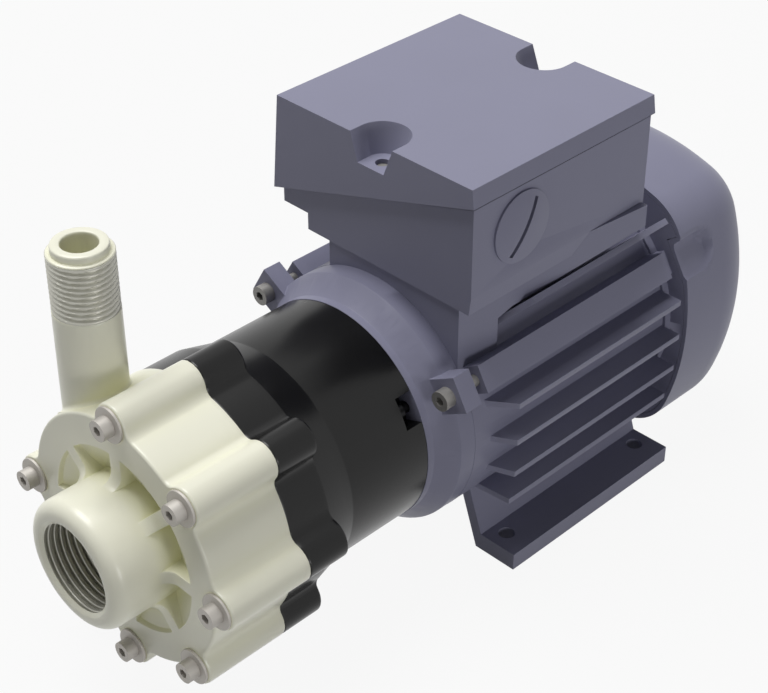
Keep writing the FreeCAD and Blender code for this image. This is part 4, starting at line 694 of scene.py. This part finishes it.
def entry_plug(materials):
    """The domed plug: strips along its slot, each as long as the disc is wide there.

    Its height is h0 + h1 (1 - r2 / R2), less the slot's depth within half its
    width and length. The slot is turned 58 degrees from the level.
    """
    reach, rim, crown = 12.6, 0.8, 1.7
    half_slot, half_run, depth, turn = 0.85, 10.4, 1.7, math.radians(58.0)
    centre_x, centre_z, wall = -33.8, 75.0, -43.0
    shank_r, shank_end = 9.9, 7.0
    # Strips stand close at the slot's sides and cells at its ends, so that its walls are steep.
    outer = np.sin(np.linspace(math.pi / 2, 0.09, 16)) * reach
    slot = [-half_slot, -half_slot + 0.04, half_slot - 0.04, half_slot]
    across = np.concatenate([-outer, slot, outer[::-1]])
    end = half_run / reach
    share = np.concatenate([np.linspace(-1, -end - 0.01, 7), np.linspace(-end, end, 25),
                            np.linspace(end + 0.01, 1, 7)])
    share = np.concatenate([share, share[::-1]])
    top = np.arange(len(share)) < len(share) // 2
    across = across[:, None] + 0 * share
    along = np.sqrt(np.maximum(reach**2 - across**2, 0)) * share
    height = rim + crown * (1 - (across**2 + along**2) / reach**2)
    in_slot = (np.abs(across) < half_slot - 0.01) & (np.abs(share) < end + 0.005)
    height = np.where(in_slot, height - depth, height)
    height = np.where(top, height, -0.5)
    x = centre_x + along * math.cos(turn) - across * math.sin(turn)
    z = centre_z + along * math.sin(turn) + across * math.cos(turn)
    points = np.stack([x, wall - height, z], -1).reshape(-1, 3)
    material = materials["box_plastic"]
    add_piece("entry_plug", points, grid_faces(*across.shape, False, True), material, "frame",
              ("blanking_plug",), sharp=35.0)
    turns = round_steps(48)
    rows = [(wall + 0.3, 0.01), (wall + 0.3, shank_r), (wall + shank_end, shank_r), (wall + shank_end, 0.01)]
    rings = [np.stack([centre_x + r * np.cos(turns), y + 0 * turns, centre_z + r * np.sin(turns)], -1)
             for y, r in rows]
    quads = grid_faces(len(rows), len(turns), True, True)
    add_piece("entry_plug_shank", np.concatenate(rings), quads, material, "frame")


def cushion_outline(reach, bow, corner, steps):
    """Points (y, z) of an outline whose four sides are arcs of radius bow, joined by corner arcs.

    A side's arc has its centre at (shift, 0), and the corner's at (h, h)
    touches it from inside: (h - shift)2 + h2 = (bow - corner)2.
    """
    shift = reach - bow
    half = (2 * shift + math.sqrt(4 * shift**2 - 8 * (shift**2 - (bow - corner) ** 2))) / 4
    lean = math.atan2(half, half - shift)
    side = np.linspace(-lean, lean, steps, endpoint=False)
    turn = np.linspace(lean, math.pi / 2 - lean, steps // 2, endpoint=False)
    u = np.concatenate([shift + bow * np.cos(side), half + corner * np.cos(turn)])
    v = np.concatenate([bow * np.sin(side), half + corner * np.sin(turn)])
    quarters = [np.stack([u * c - v * s, u * s + v * c], -1) for c, s in ((1, 0), (0, 1), (-1, 0), (0, -1))]
    return np.concatenate(quarters)


def cowl(sizes, materials):
    """The pressed cowl: a cushion outline drawn in along a quarter circle towards the back.

    The outline at each step is the rim's, times (reach - d) / reach, where
    d = R (1 - cos t) and x = rear - R (1 - sin t). Each screw has a flat: points
    within half its width and ahead of its end are brought in to the flat's plane.
    """
    reach, rear, front, radius, wall = 54.6, 96.0, 47.0, 27.0, 1.5
    side_bow, corner_r, hole = 105.0, 22.0, 25.3
    # The flats' distances from the shaft, and where they end along it.
    flats, flat_end = (55.2, 55.2, 60.0), 55.7
    ring = cushion_outline(reach, side_bow, corner_r, sizes.cowl_steps)

    def layer(inset, near, far):
        """The outer or inner surface: rings of points, whose flats blend out from near to far."""
        rows = [(x, (reach - inset) / reach) for x in np.linspace(front, rear - radius, 24)]
        for turn in np.linspace(0, math.pi / 2, 22)[1:]:
            drawn = (radius - inset) * (1 - math.cos(turn)) + inset
            rows.append((rear - inset - (radius - inset) * (1 - math.sin(turn)), (reach - drawn) / reach))
        grid = []
        for x, scale in rows:
            ring_here = ring * scale
            for angle, flat in zip(SCREW_ANGLES, flats):
                out = np.array((math.cos(math.radians(angle)), math.sin(math.radians(angle))))
                across = np.array((-out[1], out[0]))
                along = ring_here @ out
                side = np.abs(ring_here @ across)
                spread = np.sqrt(side**2 + max(0.0, x - flat_end) ** 2)
                inside = (1 - smooth_step(spread, near, far)) * (along > 0)
                drop = np.maximum(along - (flat - inset), 0) * inside
                ring_here = ring_here - drop[:, None] * out
            grid.append(np.column_stack([np.full(len(ring_here), x), ring_here]))
        return grid

    outer = layer(0.0, 5.7, 7.6)
    inner = layer(wall, 7.9, 8.4)
    turn = np.arctan2(outer[-1][:, 2], outer[-1][:, 1])
    edge = [np.column_stack([np.full(len(turn), x), hole * np.cos(turn), hole * np.sin(turn)])
            for x in (rear, rear - wall)]
    rings = outer + edge + inner[::-1]
    add_piece("cowl_shell", np.concatenate(rings), grid_faces(len(rings), len(ring), True, True),
              materials["motor_paint"], "frame", ("fan_cowl",), sharp=40.0)
    cowl_grille(materials["motor_paint"], rear - wall, rear)


def cowl_grille(material, low, high):
    """The intake grille: a middle disc, a ring and radial bars of a rounded section, from x low to high."""
    disc = [(low, 0.01), (high, 0.01), (high, 8.6), (high - 0.3, 9.0), (low, 9.0)]
    ring = [(low, 16.2), (high - 0.2, 16.2), (high, 16.4), (high, 17.6), (high - 0.2, 17.8), (low, 17.8)]
    revolve("grille_disc", disc, material, "frame", steps=96)
    revolve("grille_ring", ring, material, "frame", steps=96)
    count = 24
    section = np.array([(low, -1.0), (high - 0.25, -1.0), (high, -0.7), (high, 0.7), (high - 0.25, 1.0),
                        (low, 1.0)])
    along = np.array((8.5, 12.0, 18.0, 25.8))
    taper = (0.6 + 0.4 * (along - 8.5) / 17.3)[:, None]
    directions = [2 * math.pi * index / count for index in range(count)]
    radial_bars("grille_bars", directions, along, section[None, :, 0], section[None, :, 1] * taper, material)


class PUMP_OT_casing(bpy.types.Operator):
    """Ivory casing with its threads, discharge pipe and spider."""
    bl_idname = "pump.casing"
    bl_label = "Casing"

    def execute(self, context):
        sizes, materials = context.scene.pump_end, finishes(context)
        casing_body(sizes, materials)
        suction_thread(sizes, materials)
        discharge_pipe(sizes, materials)
        suction_spider(materials)
        return {"FINISHED"}


class PUMP_OT_bracket(bpy.types.Operator):
    """Black lantern bracket."""
    bl_idname = "pump.bracket"
    bl_label = "Bracket"

    def execute(self, context):
        bracket_shell(finishes(context))
        return {"FINISHED"}


class PUMP_OT_motor(bpy.types.Operator):
    """Painted castings of the motor."""
    bl_idname = "pump.motor"
    bl_label = "Motor castings"

    def execute(self, context):
        edge = context.scene.pump_motor.edge_break / MM
        paint = finishes(context)["motor_paint"]
        front_joint, rear_joint, plate_face = -55.0, 47.0, 50.0
        softened("stator_housing", "finned_housing", edge, paint, flush=(front_joint,),
                 moved=neck_moved)
        softened("front_end_shield", "front_shield", edge, paint, flush=(front_joint,))
        softened("rear_end_shield", "rear_shield", edge, paint, flush=(rear_joint, plate_face))
        return {"FINISHED"}


class PUMP_OT_cowl(bpy.types.Operator):
    """Fan cowl with its grille."""
    bl_idname = "pump.cowl"
    bl_label = "Fan cowl"

    def execute(self, context):
        cowl(context.scene.pump_motor, finishes(context))
        return {"FINISHED"}


class PUMP_OT_terminal_box(bpy.types.Operator):
    """Terminal box, lid and blanking plug."""
    bl_idname = "pump.terminal_box"
    bl_label = "Terminal box"

    def execute(self, context):
        edge = context.scene.pump_motor.box_edge / MM
        materials = finishes(context)
        plastic = materials["box_plastic"]
        softened("terminal_box", "box_base", edge, plastic, moved=box_moved)
        softened("terminal_lid", "box_lid", edge, plastic, segments=3)
        entry_plug(materials)
        return {"FINISHED"}


class PUMP_OT_fasteners(bpy.types.Operator):
    """Screws and washers."""
    bl_idname = "pump.fasteners"
    bl_label = "Fasteners"

    def execute(self, context):
        # Each node with its finish, its slot, the rounding of its edges in mm and the rounding's steps.
        pieces = (("casing_screws", "steel", "steel", 0.3, 3),
                  ("front_shield_screws", "grey_steel", "steel", 0.3, 3),
                  ("rear_shield_screws", "grey_steel", "steel", 0.3, 3),
                  ("lid_screws", "grey_steel", "steel", 0.3, 3),
                  ("casing_washers", "steel", "steel", 0.2, 2),
                  ("bracket_screws", "dark_steel", "dark_steel", 0.3, 3))
        for node, material, slot, width, segments in pieces:
            softened(node, node + "_finished", width, finishes(context)[material], segments)
        return {"FINISHED"}


class PUMP_OT_inside(bpy.types.Operator):
    """Finishes for the pieces inside, which keep their CAD shapes."""
    bl_idname = "pump.inside"
    bl_label = "Inner pieces"

    def execute(self, context):
        materials = finishes(context)
        slots = {part["node"]: part["material_slot"] for part in frame["record"]["subparts"]}
        for node, item in frame["nodes"].items():
            item.data.materials.clear()
            item.data.materials.append(materials[slots[node]])
            item.data.shade_smooth()
            item.data.set_sharp_from_angle(angle=math.radians(32))
        return {"FINISHED"}


class PUMP_OT_stage(bpy.types.Operator):
    """Pale floor, soft lamps and the camera."""
    bl_idname = "pump.stage"
    bl_label = "Stage"

    def execute(self, context):
        make_floor()
        make_lights()
        make_camera()
        return {"FINISHED"}


def make_floor():
    """A wide pale floor that keeps a faint shadow.

    For the rays that show the background, most of its white is its own light.
    """
    size, own_white = 4.0, 0.92
    corners = [(-size, -size, 0), (size, -size, 0), (size, size, 0), (-size, size, 0)]
    mesh = bpy.data.meshes.new("floor")
    mesh.from_pydata(corners, [], [(0, 1, 2, 3)])
    floor = add_object("floor", mesh)
    material, tree, shader = new_material("white_paper_floor")
    shader.inputs["Base Color"].default_value = (0.42, 0.42, 0.42, 1)
    shader.inputs["Roughness"].default_value = 0.9
    shader.inputs["Specular IOR Level"].default_value = 0.1
    white = add_node(tree, "ShaderNodeEmission", Strength=1.0)
    share = add_node(tree, "ShaderNodeMath", {"operation": "MULTIPLY"}, {0: shown_rays(tree)})
    share.inputs[1].default_value = own_white
    mix = add_node(tree, "ShaderNodeMixShader",
                   links={"Fac": share.outputs[0], 1: shader.outputs["BSDF"], 2: white.outputs[0]})
    out = next(node for node in tree.nodes if node.type == "OUTPUT_MATERIAL")
    tree.links.new(mix.outputs[0], out.inputs["Surface"])
    mesh.materials.append(material)


def shown_rays(tree):
    """1 for the rays that show the background: those of the camera, of reflections and of glass."""
    path = add_node(tree, "ShaderNodeLightPath")
    first = add_node(tree, "ShaderNodeMath", {"operation": "MAXIMUM"},
                     {0: path.outputs["Is Camera Ray"], 1: path.outputs["Is Glossy Ray"]})
    both = add_node(tree, "ShaderNodeMath", {"operation": "MAXIMUM"},
                    {0: first.outputs[0], 1: path.outputs["Is Transmission Ray"]})
    return both.outputs[0]


def area_light(name, place, size, power):
    """A square lamp at place that faces the middle of the pump."""
    data = bpy.data.lights.new(name, "AREA")
    data.shape = "SQUARE"
    data.size = size
    data.energy = power
    lamp = add_object(name, data)
    lamp.location = place
    lamp.rotation_euler = (PUMP_MIDDLE - Vector(place)).to_track_quat("-Z", "Y").to_euler()


def make_lights():
    """A broad lamp above and behind, a low one at the right, a faint one in front of the nose.

    The world lights the pump dimly, and shows as plain white.
    """
    area_light("top_lamp", (-0.14, 0.7, 2.2), 1.4, 52.0)
    area_light("side_lamp", (-0.2, -1.6, 0.16), 0.5, 6.8)
    area_light("front_lamp", (-1.6, -0.4, 0.16), 0.5, 0.4)
    world = bpy.data.worlds.new("studio")
    bpy.context.scene.world = world
    world.use_nodes = True
    tree = world.node_tree
    tree.nodes.clear()
    glow = add_node(tree, "ShaderNodeBackground", Color=WHITE, Strength=0.12)
    white = add_node(tree, "ShaderNodeBackground", Color=WHITE, Strength=1.0)
    mix = add_node(tree, "ShaderNodeMixShader",
                   links={"Fac": shown_rays(tree), 1: glow.outputs[0], 2: white.outputs[0]})
    add_node(tree, "ShaderNodeOutputWorld", links={"Surface": mix.outputs[0]})


def make_camera():
    """The photograph's camera: it looks along (1, 1, -1) with a long lens."""
    data = bpy.data.cameras.new("camera")
    data.sensor_width = 36.0
    data.lens = 85.88
    data.clip_start = 0.01
    camera = add_object("camera", data)
    right = Vector((1, -1, 0)).normalized()
    back = Vector((-1, -1, 1)).normalized()
    turn = Matrix((right, back.cross(right), back)).transposed()
    place = Vector((-0.40967, -0.35846, 0.43040))
    camera.matrix_world = Matrix.Translation(place) @ turn.to_4x4()
    bpy.context.scene.camera = camera


class PUMP_PT_panel(bpy.types.Panel):
    """Sidebar panel with the sizes, the colours and a button for each group of pieces."""
    bl_label = "Centrifugal pump"
    bl_idname = "PUMP_PT_panel"
    bl_space_type = "VIEW_3D"
    bl_region_type = "UI"
    bl_category = "Pump"

    def draw(self, context):
        scene = context.scene
        for group in (scene.pump_colours, scene.pump_end, scene.pump_motor):
            for key in group.__annotations__:
                self.layout.prop(group, key)
        for operator in OPERATORS:
            self.layout.operator(operator.bl_idname)


OPERATORS = (
    PUMP_OT_inside,
    PUMP_OT_casing,
    PUMP_OT_bracket,
    PUMP_OT_motor,
    PUMP_OT_cowl,
    PUMP_OT_terminal_box,
    PUMP_OT_fasteners,
    PUMP_OT_stage,
)
CLASSES = (PumpColours, PumpEndSizes, MotorSizes, *OPERATORS, PUMP_PT_panel)


def register():
    for item in CLASSES:
        bpy.utils.register_class(item)
    bpy.types.Scene.pump_colours = bpy.props.PointerProperty(type=PumpColours)
    bpy.types.Scene.pump_end = bpy.props.PointerProperty(type=PumpEndSizes)
    bpy.types.Scene.pump_motor = bpy.props.PointerProperty(type=MotorSizes)


def unregister():
    del bpy.types.Scene.pump_motor
    del bpy.types.Scene.pump_end
    del bpy.types.Scene.pump_colours
    for item in reversed(CLASSES):
        bpy.utils.unregister_class(item)


def main():
    register()
    bpy.context.scene.view_settings.view_transform = "Standard"
    for operator in OPERATORS:
        group, name = operator.bl_idname.split(".")
        getattr(getattr(bpy.ops, group), name)()


if __name__ == "__main__":
    main()
